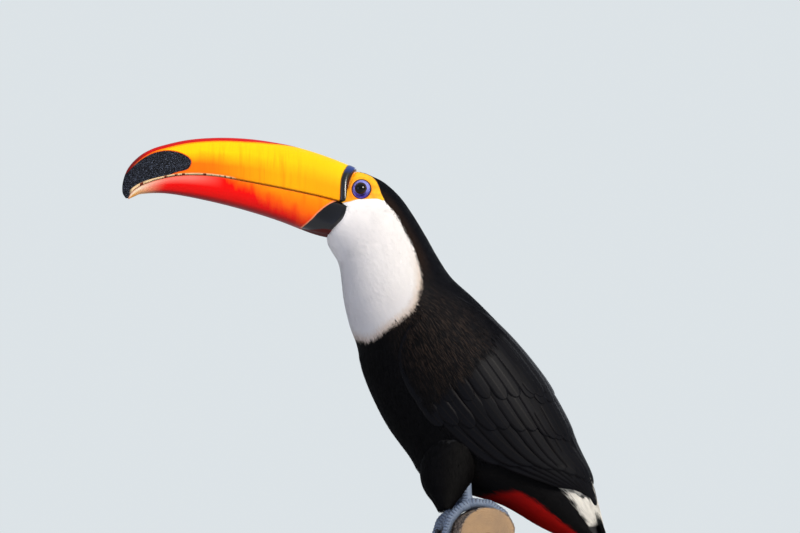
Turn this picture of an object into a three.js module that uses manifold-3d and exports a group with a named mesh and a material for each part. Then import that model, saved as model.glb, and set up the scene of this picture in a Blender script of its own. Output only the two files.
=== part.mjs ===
// A toco toucan on a short cut perch, as a life-size display model.
//
// The bird stands in the XZ plane and faces -X, with +Z up and its left side at -Y. The origin
// is the centre of the underside of the stand's base. All sizes are in millimetres.
//
// Head, neck, trunk and tail are one surface, lofted through named stations that each join a
// point of the back line to a point of the front line. The surface is parted at three of the
// stations, and whatever lies in it or on it (bill, eyes, wings, thighs, feet) is cut clear.

import * as THREE from 'three';
import { LoftGeometry } from 'three/addons/geometries/LoftGeometry.js';
import * as BufferGeometryUtils from 'three/addons/utils/BufferGeometryUtils.js';
import Module from 'manifold-3d';

const wasm = await Module();
wasm.setup();

// --- Driving dimensions -------------------------------------------------------------------

const GAP = 0.3;

// Body stations: [x, z] on the back line and on the front line, half width, and how much
// fuller the section is towards the back (+) or the front (-).
const STATIONS = [
  { name: 'bill base', back: [-97.9, 469.3], front: [-123.5, 410.1], halfWidth: 20.2, fuller: 0.12 },
  { name: 'eye', back: [-86.1, 466.2], front: [-120.9, 403.2], halfWidth: 24.4, fuller: 0.14 },
  { name: 'crown', back: [-73.1, 460.2], front: [-116.6, 396.2], halfWidth: 26.5, fuller: 0.1 },
  { name: 'nape', back: [-59.2, 447.4], front: [-112.7, 389.3], halfWidth: 28, fuller: 0.05 },
  { name: 'hind neck', back: [-47.9, 431.4], front: [-110.9, 380.6], halfWidth: 30, fuller: 0 },
  { name: 'mid neck', back: [-36.5, 412.3], front: [-109.6, 369.2], halfWidth: 32, fuller: 0 },
  { name: 'low neck', back: [-26.1, 393.6], front: [-107.9, 355.3], halfWidth: 35, fuller: 0 },
  { name: 'bib end', back: [-13.9, 375.3], front: [-102.7, 333.6], halfWidth: 41, fuller: 0.02 },
  { name: 'shoulder', back: [4.4, 358.4], front: [-96.6, 317], halfWidth: 46, fuller: 0.04 },
  { name: 'breast', back: [27.8, 334.4], front: [-92.2, 296.2], halfWidth: 49, fuller: 0.04 },
  { name: 'mid back', back: [50.5, 308.3], front: [-83.5, 273.5], halfWidth: 50, fuller: 0.02 },
  { name: 'low back', back: [70.5, 280.5], front: [-69.6, 246.6], halfWidth: 48.5, fuller: 0 },
  { name: 'belly', back: [86.1, 251.8], front: [-51.3, 221.3], halfWidth: 44, fuller: 0.02 },
  { name: 'hip', back: [96.6, 224.8], front: [-37, 201], halfWidth: 38, fuller: 0.08 },
  { name: 'rump', back: [104.4, 203.9], front: [-2, 189], halfWidth: 32, fuller: 0.12 },
  { name: 'vent', back: [108.8, 189.2], front: [29, 179], halfWidth: 27.5, fuller: 0.12 },
  { name: 'tail root', back: [113.1, 172.6], front: [58, 162], halfWidth: 25, fuller: 0.1 },
  { name: 'tail coverts', back: [118.3, 155.2], front: [85, 145.5], halfWidth: 25, fuller: 0.05 },
  { name: 'mid tail', back: [123.5, 137], front: [104.5, 131], halfWidth: 27, fuller: 0 },
  { name: 'low tail', back: [130.5, 111.5], front: [117, 108], halfWidth: 29.5, fuller: 0 },
  { name: 'tail end', back: [139.8, 80], front: [129.5, 77.5], halfWidth: 24, fuller: 0 },
];
const BODY_SIDES = 24;
const PARTING = { head: 2.6, neck: 7, tail: 16 };

// Bill: the ridge, the gape line and the keel run from the base to the tip.
const RIDGE = [
  [-97.9, 471.9], [-111.7, 478.5], [-129.2, 485.2], [-146.8, 490.7], [-164.3, 494.7],
  [-190, 498.6], [-216.9, 499.9], [-243.5, 498.2], [-265.1, 493.6], [-278.1, 489.2],
  [-288.5, 482.6], [-297, 472.9], [-301.2, 461.5], [-301.6, 451.8], [-298.6, 446.2],
];
const GAPE = [
  [-106.3, 438.4], [-129, 444.6], [-163.5, 452.3], [-196, 459], [-222, 463.7], [-248, 464.8],
  [-268, 462], [-284, 457.2], [-293, 451.8], [-296.8, 446.3],
];
const KEEL = [
  [-123, 410.4], [-137.5, 414.5], [-163.5, 426.2], [-198, 437.2], [-233, 445.8],
  [-263.5, 451], [-284, 450.6], [-291.3, 448.2], [-296.6, 445.6],
];
const BILL = {
  halfWidths: [20.5, 19.6, 18.2, 16.5, 14.4, 11.8, 8.4, 3.2],
  upperReach: 0.999,
  lowerReach: 0.965,
  sections: 13,
  sides: 15,
};
const BAND = { length: 6, rise: 0.7 };

// Eyes sit in round sockets.
const EYE = { radius: 7.2, x: -92.9, z: 451.4, y: 16, socket: 7.6 };

// Folded wings lie over the trunk, from station to station and between two girth angles.
const WING = {
  start: 7.7,
  end: 15.2,
  upperEdge: [46, 26, 22, 24, 22, 20],
  lowerEdge: [80, 117, 122, 112, 84, 44],
  rise: 5.5,
  depth: 5,
  edge: 1.1,
  sections: 10,
  chordSteps: 7,
  stationSpacing: 15,
};

// Feathered thighs: circles down to the heel, for the left side.
const THIGH = {
  y: -23.5,
  circles: [
    { x: -10, z: 232, radius: 22 },
    { x: -16, z: 214, radius: 25 },
    { x: -18.5, z: 200, radius: 22 },
    { x: -19.5, z: 190, radius: 16.5 },
    { x: -20, z: 182.5, radius: 10 },
  ],
};

// Perch: a cut length of limb across the stand, turned a little about the vertical.
const PERCH = { x: 4, z: 150, radius: 25, halfLength: 72, turn: 8, sides: 20, sections: 8 };

// Feet: two toes in front and two behind, wrapped round the perch.
const FOOT = {
  reach: 24,
  hubAngle: 107,
  toeOverlap: 7,
  hubRadius: 6.4,
  toeRadius: 4.1,
  toeEndRadius: 3.1,
  toeSpread: 5.6,
  heel: { x: -3, z: 208 },
  tarsusRadius: 3.9,
  clawLength: 15,
  clawRadius: 2.5,
  clawArch: 2.2,
};
const TOES = [
  { name: 'front_outer', side: -1, forward: 1, length: 46 },
  { name: 'front_inner', side: 1, forward: 1, length: 32 },
  { name: 'back_outer', side: -1, forward: -1, length: 42 },
  { name: 'back_inner', side: 1, forward: -1, length: 27 },
];

// Stand: a round base and two rods.
const BASE = { radius: 115, height: 20, edge: 5 };
const ROD = { radius: 4, reach: 42, baseDepth: 9, perchDepth: 12 };

const MATERIALS = {
  billOrange: { color: 0xf59a0c, roughness: 0.35, metalness: 0 },
  billRed: { color: 0xd8300c, roughness: 0.35, metalness: 0 },
  faceOrange: { color: 0xf2a11a, roughness: 0.6, metalness: 0 },
  bibWhite: { color: 0xf1ece4, roughness: 0.8, metalness: 0 },
  plumageBlack: { color: 0x0b0b0f, roughness: 0.7, metalness: 0 },
  eyeBlack: { color: 0x080604, roughness: 0.05, metalness: 0 },
  footBlue: { color: 0x6e7d92, roughness: 0.55, metalness: 0 },
  clawDark: { color: 0x1a1a1d, roughness: 0.4, metalness: 0 },
  bark: { color: 0x6b5d55, roughness: 0.95, metalness: 0 },
  walnut: { color: 0x4a2f1d, roughness: 0.45, metalness: 0 },
  steel: { color: 0xc4c6c9, roughness: 0.3, metalness: 1 },
};

// --- Helpers ------------------------------------------------------------------------------

const radians = THREE.MathUtils.degToRad;
const lerp = THREE.MathUtils.lerp;

function planeCurve(points) {
  return new THREE.CatmullRomCurve3(points.map(([x, z]) => new THREE.Vector3(x, 0, z)));
}

// A smooth value through evenly spaced knots, for t from 0 to 1.
function profile(knots, t) {
  const curve = new THREE.SplineCurve(knots.map((value, i) => new THREE.Vector2(i, value)));
  return curve.getPoint(t).y;
}

function centreOf(points) {
  const sum = points.reduce((total, point) => total.add(point), new THREE.Vector3());
  return sum.divideScalar(points.length);
}

// Rings run counterclockwise as seen from the loft's end, so that its faces point out.
function loft(sections) {
  const [first, next] = sections;
  const centre = centreOf(first);
  const normal = new THREE.Vector3();
  first.forEach((point, i) => {
    const arm = first[(i + 1) % first.length].clone().sub(centre);
    normal.add(point.clone().sub(centre).cross(arm));
  });
  const forward = normal.dot(centreOf(next).sub(centre)) > 0;
  const rings = forward ? sections : sections.map((points) => [...points].reverse());
  return new LoftGeometry(rings, { capStart: true, capEnd: true });
}

function sectionsOf(count, sectionAt) {
  return Array.from({ length: count + 1 }, (_, i) => sectionAt(i / count));
}

// A ring of points round a centre, in the plane of two directions.
function ring(centre, across, up, halfWidth, halfHeight, sides) {
  return Array.from({ length: sides }, (_, i) => {
    const angle = (i / sides) * 2 * Math.PI;
    return centre
      .clone()
      .addScaledVector(across, halfWidth * Math.cos(angle))
      .addScaledVector(up, halfHeight * Math.sin(angle));
  });
}

function toSolid(geometry) {
  const bare = new THREE.BufferGeometry().copy(geometry);
  bare.deleteAttribute('normal');
  bare.deleteAttribute('uv');
  const merged = BufferGeometryUtils.mergeVertices(bare, 1e-4);
  const vertProperties = new Float32Array(merged.attributes.position.array);
  const triVerts = new Uint32Array(merged.index.array);
  return new wasm.Manifold(new wasm.Mesh({ numProp: 3, vertProperties, triVerts }));
}

function toGeometry(solid) {
  const mesh = solid.getMesh();
  const geometry = new THREE.BufferGeometry();
  geometry.setAttribute('position', new THREE.BufferAttribute(mesh.vertProperties, 3));
  geometry.setIndex(new THREE.BufferAttribute(mesh.triVerts, 1));
  return geometry;
}

function cut(geometry, tools) {
  return toGeometry(tools.reduce((solid, tool) => solid.subtract(toSolid(tool)), toSolid(geometry)));
}

function join(geometries) {
  const [first, ...rest] = geometries.map(toSolid);
  return toGeometry(rest.reduce((solid, other) => solid.add(other), first));
}

// The same shape on the other side of the bird, with its faces still pointing out.
function mirrored(geometry) {
  const copy = new THREE.BufferGeometry().copy(geometry);
  copy.scale(1, -1, 1);
  const index = copy.index.array;
  for (let i = 0; i < index.length; i += 3) {
    [index[i], index[i + 1]] = [index[i + 1], index[i]];
  }
  return copy;
}

// --- Body ---------------------------------------------------------------------------------

const backLine = planeCurve(STATIONS.map((station) => station.back));
const frontLine = planeCurve(STATIONS.map((station) => station.front));

// The point of the body surface at a station, at an angle from the back towards the left,
// raised above the surface.
function bodyPoint(station, degrees, rise = 0) {
  const t = station / (STATIONS.length - 1);
  const back = backLine.getPoint(t);
  const front = frontLine.getPoint(t);
  const centre = back.clone().add(front).multiplyScalar(0.5);
  const up = back.clone().sub(front);
  const halfHeight = up.length() / 2 + rise;
  const halfWidth = profile(STATIONS.map((s) => s.halfWidth), t) + rise;
  const fuller = profile(STATIONS.map((s) => s.fuller), t);
  const angle = radians(degrees);
  centre.addScaledVector(up.normalize(), halfHeight * Math.cos(angle));
  centre.y = -halfWidth * Math.sin(angle) * (1 + fuller * Math.cos(angle));
  return centre;
}

function bodyRing(station) {
  return Array.from({ length: BODY_SIDES }, (_, i) => bodyPoint(station, (i / BODY_SIDES) * 360));
}

// A length of the body between two stations. It starts a gap after its first station.
function bodyLength(from, to, count, gap) {
  const sections = sectionsOf(count, (f) => bodyRing(lerp(from, to, f)));
  const [first, next] = sections;
  const up = first[0].clone().sub(first[BODY_SIDES / 2]);
  const along = up.cross(new THREE.Vector3(0, 1, 0)).normalize();
  along.multiplyScalar(Math.sign(along.dot(next[0].clone().sub(first[0]))));
  first.forEach((point) => point.addScaledVector(along, gap));
  return loft(sections);
}

// --- Bill ---------------------------------------------------------------------------------

const ridgeLine = planeCurve(RIDGE);
const gapeLine = planeCurve(GAPE);
const keelLine = planeCurve(KEEL);

// An arch of points from the gape line over the ridge (or under the keel), closed flat.
function billSection(edge, crest, halfWidth) {
  const up = crest.clone().sub(edge);
  return Array.from({ length: BILL.sides }, (_, i) => {
    const angle = (i / (BILL.sides - 1)) * Math.PI;
    const point = edge.clone().addScaledVector(up, Math.sin(angle) ** 0.85);
    point.y = halfWidth * Math.sign(Math.cos(angle)) * Math.abs(Math.cos(angle)) ** 0.8;
    return point;
  });
}

// One half of the bill, with a low raised band round its base. A grown half is used to cut
// room for the bill in the head, and ends early.
function billHalf(crestLine, gapeReach, { grow = 0, end = 1 } = {}) {
  const length = crestLine.getLength();
  const bandEnd = BAND.length / length;
  const steps = [0, bandEnd * 0.9, bandEnd * 1.2];
  for (let i = 1; i <= BILL.sections; i++) {
    steps.push(lerp(bandEnd * 1.2, end, i / BILL.sections));
  }
  const sections = steps.map((f, i) => {
    const edge = gapeLine.getPointAt(f * gapeReach);
    const crest = crestLine.getPointAt(Math.min(f, 0.999));
    const out = crest.clone().sub(edge).normalize();
    const rise = grow + (i < 2 ? BAND.rise : 0);
    edge.addScaledVector(out, GAP / 2 - grow);
    return billSection(edge, crest.addScaledVector(out, rise), profile(BILL.halfWidths, f) + rise);
  });
  sections[0].forEach((point) => point.setX(point.x + grow));
  return loft(sections);
}

// --- Eyes ---------------------------------------------------------------------------------

function eyeball(radius) {
  return new THREE.SphereGeometry(radius, 12, 9).translate(EYE.x, -EYE.y, EYE.z);
}

// --- Wings --------------------------------------------------------------------------------

// A cambered section of the folded left wing, over the body's flank.
function wingSection(f, grow) {
  const margin = grow / WING.stationSpacing;
  const station = lerp(WING.start - margin, WING.end + margin, f);
  const upper = profile(WING.upperEdge, f);
  const lower = profile(WING.lowerEdge, f);
  const middle = (upper + lower) / 2;
  const half = (lower - upper) / 2 + grow;
  const steps = WING.chordSteps;
  const outer = Array.from({ length: steps + 1 }, (_, i) => {
    const v = (2 * i) / steps - 1;
    const rise = WING.edge + WING.rise * Math.sqrt(1 - v * v) * lerp(1, 0.7, f) + 8 * grow;
    return bodyPoint(station, middle + half * v, rise);
  });
  const inner = Array.from({ length: steps + 1 }, (_, i) => {
    const v = 1 - (2 * i) / steps;
    const depth = WING.edge + WING.depth * Math.sqrt(1 - v * v) * lerp(1, 0.5, f) + grow;
    return bodyPoint(station, middle + half * v, -depth);
  });
  return [...outer, ...inner];
}

function wing(grow = 0) {
  return loft(sectionsOf(WING.sections, (f) => wingSection(f, grow)));
}

// --- Perch --------------------------------------------------------------------------------

const perchCentre = new THREE.Vector3(PERCH.x, 0, PERCH.z);
const perchAlong = new THREE.Vector3(-Math.sin(radians(PERCH.turn)), Math.cos(radians(PERCH.turn)), 0);
const perchForward = new THREE.Vector3(-perchAlong.y, perchAlong.x, 0);
const up = new THREE.Vector3(0, 0, 1);

// A point at a distance along the perch, and at an angle from straight back over the top.
function perchPoint(along, degrees, radius) {
  return perchCentre
    .clone()
    .addScaledVector(perchAlong, along)
    .addScaledVector(perchForward, -radius * Math.cos(radians(degrees)))
    .addScaledVector(up, radius * Math.sin(radians(degrees)));
}

function barkRadius(along, degrees) {
  const lumps = Math.sin(radians(3 * degrees) + along / 17) + Math.sin(radians(5 * degrees) - along / 9);
  return PERCH.radius - 0.35 * (2 + lumps);
}

function perchSolid() {
  const sections = sectionsOf(PERCH.sections, (f) => {
    const along = lerp(PERCH.halfLength, -PERCH.halfLength, f);
    return Array.from({ length: PERCH.sides }, (_, i) => {
      const degrees = (i / PERCH.sides) * 360;
      return perchPoint(along, degrees, barkRadius(along, degrees));
    });
  });
  return cut(loft(sections), [rod(-1, GAP), rod(1, GAP)]);
}

// --- Legs and feet ------------------------------------------------------------------------

function thigh(grow = 0) {
  const across = new THREE.Vector3(1, 0, 0);
  const depth = new THREE.Vector3(0, -1, 0);
  const knots = THIGH.circles;
  const sections = sectionsOf(7, (f) => {
    const x = profile(knots.map((c) => c.x), f);
    const z = profile(knots.map((c) => c.z), f) - (f === 1 ? grow : 0);
    const radius = profile(knots.map((c) => c.radius), f) + grow;
    return ring(new THREE.Vector3(x, THIGH.y, z), across, depth, radius, radius * 0.92, 14);
  });
  return loft(sections);
}

function toeRadius(f, grow) {
  const joints = 0.3 * Math.sin(f * Math.PI * 3) ** 2;
  const tip = f > 0.99 ? 0.72 : 1;
  return (lerp(FOOT.toeRadius, FOOT.toeEndRadius, f) + joints) * tip + grow;
}

// The foot's place along the perch: the left foot is at the near side.
function toePath(foot, toe) {
  const hub = FOOT.hubAngle;
  const turn = (toe.length / (PERCH.radius + FOOT.toeRadius)) * (180 / Math.PI);
  const outward = foot * toe.side;
  return (f, radius) => {
    const spread = FOOT.toeSpread * Math.min(1, 0.55 + 2 * f);
    const along = foot * FOOT.reach - outward * spread;
    return perchPoint(along, hub + toe.forward * (turn * f - FOOT.toeOverlap), radius);
  };
}

function toeSolid(foot, toe, grow) {
  const path = toePath(foot, toe);
  const sections = sectionsOf(6, (f) => {
    const radius = toeRadius(f, grow);
    const height = PERCH.radius + GAP + toeRadius(f, 0);
    const centre = path(f, height);
    const outwards = path(f, height + 1).sub(centre).normalize();
    return ring(centre, perchAlong, outwards, radius * 1.05, radius, 8);
  });
  return loft(sections);
}

function clawSolid(foot, toe) {
  const path = toePath(foot, toe);
  const bare = GAP / toe.length;
  const reach = FOOT.clawLength / toe.length;
  const sections = sectionsOf(5, (f) => {
    const radius = FOOT.clawRadius * (1 - 0.82 * f);
    const height = PERCH.radius + GAP + radius + FOOT.clawArch * Math.sin(Math.PI * (0.12 + 0.88 * f));
    const centre = path(1 + bare + reach * f, height);
    const outwards = path(1 + bare + reach * f, height + 1).sub(centre).normalize();
    return ring(centre, perchAlong, outwards, radius * 0.8, radius, 6);
  });
  return loft(sections);
}

// Tarsus, hub and four toes of one foot, as one piece.
function footSolid(foot, grow = 0) {
  const hub = perchPoint(foot * FOOT.reach, FOOT.hubAngle, PERCH.radius + GAP + FOOT.hubRadius);
  const ball = new THREE.SphereGeometry(FOOT.hubRadius + grow, 12, 9);
  ball.translate(hub.x, hub.y, hub.z);
  const heel = new THREE.Vector3(FOOT.heel.x, hub.y, FOOT.heel.z);
  const along = heel.clone().sub(hub).normalize();
  const across = new THREE.Vector3(0, 1, 0);
  const upright = across.clone().cross(along);
  const tarsus = sectionsOf(4, (f) => {
    const centre = hub.clone().lerp(heel, f).addScaledVector(along, f * grow);
    const radius = FOOT.tarsusRadius * (1 + 0.28 * Math.abs(2 * f - 1) ** 3) + grow;
    return ring(centre, across, upright, radius, radius, 8);
  });
  return join([ball, loft(tarsus), ...TOES.map((toe) => toeSolid(foot, toe, grow))]);
}

// --- Stand --------------------------------------------------------------------------------

function rod(side, grow = 0) {
  const bottom = BASE.height - ROD.baseDepth;
  const top = PERCH.z - PERCH.radius + ROD.perchDepth;
  const foot = perchPoint(side * ROD.reach, 0, 0);
  const length = top - bottom + 2 * grow;
  const geometry = new THREE.CylinderGeometry(ROD.radius + grow, ROD.radius + grow, length, 12);
  return geometry.rotateX(Math.PI / 2).translate(foot.x, foot.y, (top + bottom) / 2);
}

function baseSolid() {
  const { radius, height, edge } = BASE;
  const steps = 3;
  const rim = Array.from({ length: steps + 1 }, (_, i) => {
    const angle = (i / steps) * (Math.PI / 2);
    return new THREE.Vector2(radius - edge + edge * Math.cos(angle), height - edge + edge * Math.sin(angle));
  });
  const outline = [new THREE.Vector2(0, 0), new THREE.Vector2(radius, 0), ...rim, new THREE.Vector2(0, height)];
  const disc = new THREE.LatheGeometry(outline, 32).rotateX(Math.PI / 2);
  return cut(disc, [rod(-1, GAP), rod(1, GAP)]);
}

// --- The model ----------------------------------------------------------------------------

const toucan = new THREE.Group();

function add(name, geometry, finish) {
  const mesh = new THREE.Mesh(geometry, new THREE.MeshStandardMaterial(finish));
  mesh.name = name;
  toucan.add(mesh);
}

const SIDES = [
  { name: 'left', foot: -1, place: (geometry) => geometry },
  { name: 'right', foot: 1, place: mirrored },
];
const last = STATIONS.length - 1;

const sockets = SIDES.map((side) => side.place(eyeball(EYE.socket)));
const billRoom = [
  billHalf(ridgeLine, BILL.upperReach, { grow: GAP, end: 0.4 }),
  billHalf(keelLine, BILL.lowerReach, { grow: GAP, end: 0.4 }),
];
const headRaw = bodyLength(0, PARTING.head, 6, 0);
add('head', cut(headRaw, [...sockets, ...billRoom]), MATERIALS.faceOrange);
add('neck', bodyLength(PARTING.head, PARTING.neck, 6, GAP), MATERIALS.bibWhite);

const legRoom = SIDES.flatMap((side) => [side.place(thigh(GAP)), footSolid(side.foot, GAP)]);
const wingRoom = SIDES.map((side) => side.place(wing(GAP)));
const trunkRaw = bodyLength(PARTING.neck, PARTING.tail, 13, GAP);
add('trunk', cut(trunkRaw, [...wingRoom, ...legRoom]), MATERIALS.plumageBlack);
add('tail', bodyLength(PARTING.tail, last, 8, GAP), MATERIALS.plumageBlack);

add('bill_upper', billHalf(ridgeLine, BILL.upperReach), MATERIALS.billOrange);
const overLower = billHalf(ridgeLine, BILL.upperReach, { grow: GAP });
add('bill_lower', cut(billHalf(keelLine, BILL.lowerReach), [overLower]), MATERIALS.billRed);

for (const side of SIDES) {
  add(`eye_${side.name}`, side.place(eyeball(EYE.radius)), MATERIALS.eyeBlack);
  add(`wing_${side.name}`, side.place(wing()), MATERIALS.plumageBlack);
  const thighOnly = cut(side.place(thigh()), [footSolid(side.foot, GAP), side.place(wing(GAP))]);
  add(`thigh_${side.name}`, thighOnly, MATERIALS.plumageBlack);
  add(`foot_${side.name}`, footSolid(side.foot), MATERIALS.footBlue);
  for (const toe of TOES) {
    add(`claw_${side.name}_${toe.name}`, clawSolid(side.foot, toe), MATERIALS.clawDark);
  }
}

add('perch', perchSolid(), MATERIALS.bark);
add('stand_base', baseSolid(), MATERIALS.walnut);
add('stand_rod_near', rod(-1), MATERIALS.steel);
add('stand_rod_far', rod(1), MATERIALS.steel);

export default toucan;
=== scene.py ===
# %% [markdown]
# # A toco toucan on a display perch
#
# The real object is a still, life-size museum model of a toco toucan. It grips a short cut
# length of limb that two rods hold above a round wooden base. The solids of the frame already
# have the right size and place. These cells give the bird its skin, its coat of feathers, its
# glossy bill and its eyes, and give the limb its bark. Every length below is written in
# millimetres and multiplied by MM, because Blender works in metres.

# %% Load the frame and keep its parts in place
import bpy
import bmesh
import math
import numpy as np
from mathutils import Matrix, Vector, noise
from mathutils.bvhtree import BVHTree


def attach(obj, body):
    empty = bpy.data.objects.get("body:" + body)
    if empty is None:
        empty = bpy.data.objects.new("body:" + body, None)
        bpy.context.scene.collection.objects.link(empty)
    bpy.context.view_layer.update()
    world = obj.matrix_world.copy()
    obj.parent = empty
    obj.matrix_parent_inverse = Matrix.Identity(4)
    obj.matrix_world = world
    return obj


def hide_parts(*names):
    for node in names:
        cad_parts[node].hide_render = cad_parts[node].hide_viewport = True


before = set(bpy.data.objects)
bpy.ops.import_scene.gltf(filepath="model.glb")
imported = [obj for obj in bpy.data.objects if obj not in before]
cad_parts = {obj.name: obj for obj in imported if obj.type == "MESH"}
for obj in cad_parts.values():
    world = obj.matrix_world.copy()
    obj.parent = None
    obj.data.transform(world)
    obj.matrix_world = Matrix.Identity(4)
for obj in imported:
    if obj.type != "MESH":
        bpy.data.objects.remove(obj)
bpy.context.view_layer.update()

MM = 0.001

# %% [markdown]
# ## The studio
#
# A museum model is pictured on a pale floor under soft light. One could light it with an
# image of a room, but three large area lights are easier to steer: a warm key from the right
# gives the bib its form, a cool fill opens the shadows on the left, and a rim light from behind
# draws the edge of the black plumage. The camera sits low and far away, so that the bird is
# seen almost without perspective, from a little below.

# %% Floor, backdrop and world
def plain_material(name, colour, roughness):
    material = bpy.data.materials.new(name)
    material.use_nodes = True
    shader = material.node_tree.nodes["Principled BSDF"]
    shader.inputs["Base Color"].default_value = colour
    shader.inputs["Roughness"].default_value = roughness
    return material


FLOOR_RADIUS = 120.0
floor_build = bmesh.new()
bmesh.ops.create_circle(floor_build, cap_ends=True, segments=96, radius=FLOOR_RADIUS)
floor_mesh = bpy.data.meshes.new("studio_floor")
floor_build.to_mesh(floor_mesh)
floor_build.free()
floor = bpy.data.objects.new("studio_floor", floor_mesh)
bpy.context.scene.collection.objects.link(floor)
floor_mesh.materials.append(plain_material("pale floor", (0.66, 0.67, 0.68, 1), 0.8))

world = bpy.data.worlds.new("studio world")
world.use_nodes = True
sky = world.node_tree
ambient = sky.nodes["Background"]
upward = sky.nodes.new("ShaderNodeSeparateXYZ")
sky.links.new(sky.nodes.new("ShaderNodeTexCoord").outputs["Generated"], upward.inputs[0])
glow = sky.nodes.new("ShaderNodeMapRange")
for name, value in {"From Min": -0.1, "From Max": 0.9, "To Min": 0.26, "To Max": 0.62}.items():
    glow.inputs[name].default_value = value
sky.links.new(upward.outputs["Z"], glow.inputs["Value"])
ambient.inputs["Color"].default_value = (0.80, 0.86, 0.95, 1)
sky.links.new(glow.outputs["Result"], ambient.inputs["Strength"])
seen_sky = sky.nodes.new("ShaderNodeBackground")
horizon = sky.nodes.new("ShaderNodeValToRGB")
horizon.color_ramp.elements[0].color = (0.29, 0.32, 0.355, 1)
horizon.color_ramp.elements[1].color = (0.72, 0.77, 0.80, 1)
horizon.color_ramp.elements[1].position = 0.04
sky.links.new(upward.outputs["Z"], horizon.inputs[0])
sky.links.new(horizon.outputs["Color"], seen_sky.inputs["Color"])
choose = sky.nodes.new("ShaderNodeMixShader")
path = sky.nodes.new("ShaderNodeLightPath")
sky.links.new(path.outputs["Is Camera Ray"], choose.inputs[0])
sky.links.new(ambient.outputs[0], choose.inputs[1])
sky.links.new(seen_sky.outputs[0], choose.inputs[2])
sky.links.new(choose.outputs[0], sky.nodes["World Output"].inputs["Surface"])
bpy.context.scene.world = world
bpy.context.scene.view_settings.view_transform = "Standard"
print("floor and world are ready")


# %% Lights and camera
def area_light(name, place, target, size, power, colour):
    light = bpy.data.lights.new(name, "AREA")
    light.shape = "DISK"
    light.size = size
    light.energy = power
    light.color = colour
    lamp = bpy.data.objects.new(name, light)
    lamp.location = place
    lamp.rotation_euler = (Vector(target) - Vector(place)).to_track_quat("-Z", "Y").to_euler()
    bpy.context.scene.collection.objects.link(lamp)
    return lamp


LIT_POINT = (-0.06, 0.0, 0.36)
key = area_light("key", (1.15, -1.55, 1.25), LIT_POINT, 0.75, 21.5, (1.0, 0.945, 0.87))
key.data.spread = math.radians(120)
area_light("fill", (-1.7, -1.3, 0.7), LIT_POINT, 1.4, 7, (0.52, 0.60, 1.0))
area_light("rim", (0.8, 1.5, 1.1), LIT_POINT, 0.9, 5, (0.86, 0.92, 1.0))

CAMERA_TARGET = Vector((-0.0592, 0.0, 0.3862))
CAMERA_DISTANCE = 2.3
CAMERA_ELEVATION = math.radians(-8.5)
FRAME_WIDTH = 0.696
SENSOR = 36.0
toward_camera = Vector((0, -math.cos(CAMERA_ELEVATION), math.sin(CAMERA_ELEVATION)))
camera_data = bpy.data.cameras.new("camera")
camera_data.sensor_width = SENSOR
camera_data.lens = SENSOR * CAMERA_DISTANCE / FRAME_WIDTH
camera = bpy.data.objects.new("camera", camera_data)
camera.location = CAMERA_TARGET + toward_camera * CAMERA_DISTANCE
camera.rotation_euler = (-toward_camera).to_track_quat("-Z", "Y").to_euler()
bpy.context.scene.collection.objects.link(camera)
bpy.context.scene.camera = camera
print("camera height above the floor (m):", round(camera.location.z, 4))

# %% [markdown]
# ## Tools for shaping
#
# Most of the bird is a surface that is known by a rule: a point at a share of its length and
# a share of its girth. Rather than place vertices by hand, an operator makes a flat grid, and
# the rule then rolls the grid into shape. The seam of a rolled grid is merged and its open
# ends are closed, so that every piece is a shut skin.


# %% Curves through knots
def smooth_through(knots, place):
    """Points of a smooth curve through numbered knots; place 0 is the first knot."""
    knots = np.asarray(knots, float)
    if knots.ndim == 1:
        return smooth_through(knots[:, None], place)[..., 0]
    before = 2 * knots[0] - knots[1]
    after = 2 * knots[-1] - knots[-2]
    padded = np.vstack([before, knots, after])
    place = np.clip(np.asarray(place, float), 0, len(knots) - 1)
    index = np.minimum(place.astype(int), len(knots) - 2)
    t = (place - index)[..., None]
    a, b, c, d = (padded[index + k] for k in range(4))
    return 0.5 * (2 * b + (c - a) * t + (2 * a - 5 * b + 4 * c - d) * t**2 + (3 * b - a - 3 * c + d) * t**3)


def evenly_along(knots, share):
    """Points at a share of the length of the curve through the knots."""
    dense = smooth_through(knots, np.linspace(0, len(knots) - 1, 60 * len(knots)))
    steps = np.linalg.norm(np.diff(dense, axis=0), axis=1)
    walked = np.concatenate([[0], np.cumsum(steps)])
    wanted = np.asarray(share, float) * walked[-1]
    return np.stack([np.interp(wanted, walked, dense[:, k]) for k in range(dense.shape[1])], -1)


def ease(low, high, value):
    """0 below low, 1 above high, and a smooth rise between."""
    t = np.clip((value - low) / (high - low), 0, 1)
    return t * t * (3 - 2 * t)


def from_back(degrees):
    """The angle from the middle of the back, 0 to 180, the same on both sides."""
    return np.abs((degrees + 180) % 360 - 180)


print("a smooth curve passes its middle knot:", smooth_through([0, 1, 0], np.array([1.0])))


# %% Rolled grids and new pieces
MERGE_WITHIN = 0.02 * MM


def mesh_from(build, name):
    """Turn a finished build into a smooth mesh."""
    mesh = bpy.data.meshes.new(name)
    build.to_mesh(mesh)
    build.free()
    mesh.shade_smooth()
    return mesh


def rolled_grid(name, rule, around, along, values=None):
    """A grid whose vertices the rule moves from (u along, v around) into place."""
    build = bmesh.new()
    bmesh.ops.create_grid(build, x_segments=along, y_segments=around, size=1)
    flat = np.array([vert.co for vert in build.verts])
    u, v = flat[:, 0] * 0.5 + 0.5, flat[:, 1] * 0.5 + 0.5
    for vert, place in zip(build.verts, rule(u, v).tolist()):
        vert.co = place
    for kept, value_at in (values or {}).items():
        layer = build.verts.layers.float.new(kept)
        for vert, value in zip(build.verts, value_at(u, v).tolist()):
            vert[layer] = value
    bmesh.ops.remove_doubles(build, verts=build.verts, dist=MERGE_WITHIN)
    rims = [edge for edge in build.edges if edge.is_boundary]
    bmesh.ops.holes_fill(build, edges=rims, sides=0)
    bmesh.ops.recalc_face_normals(build, faces=build.faces)
    return mesh_from(build, name)


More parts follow.
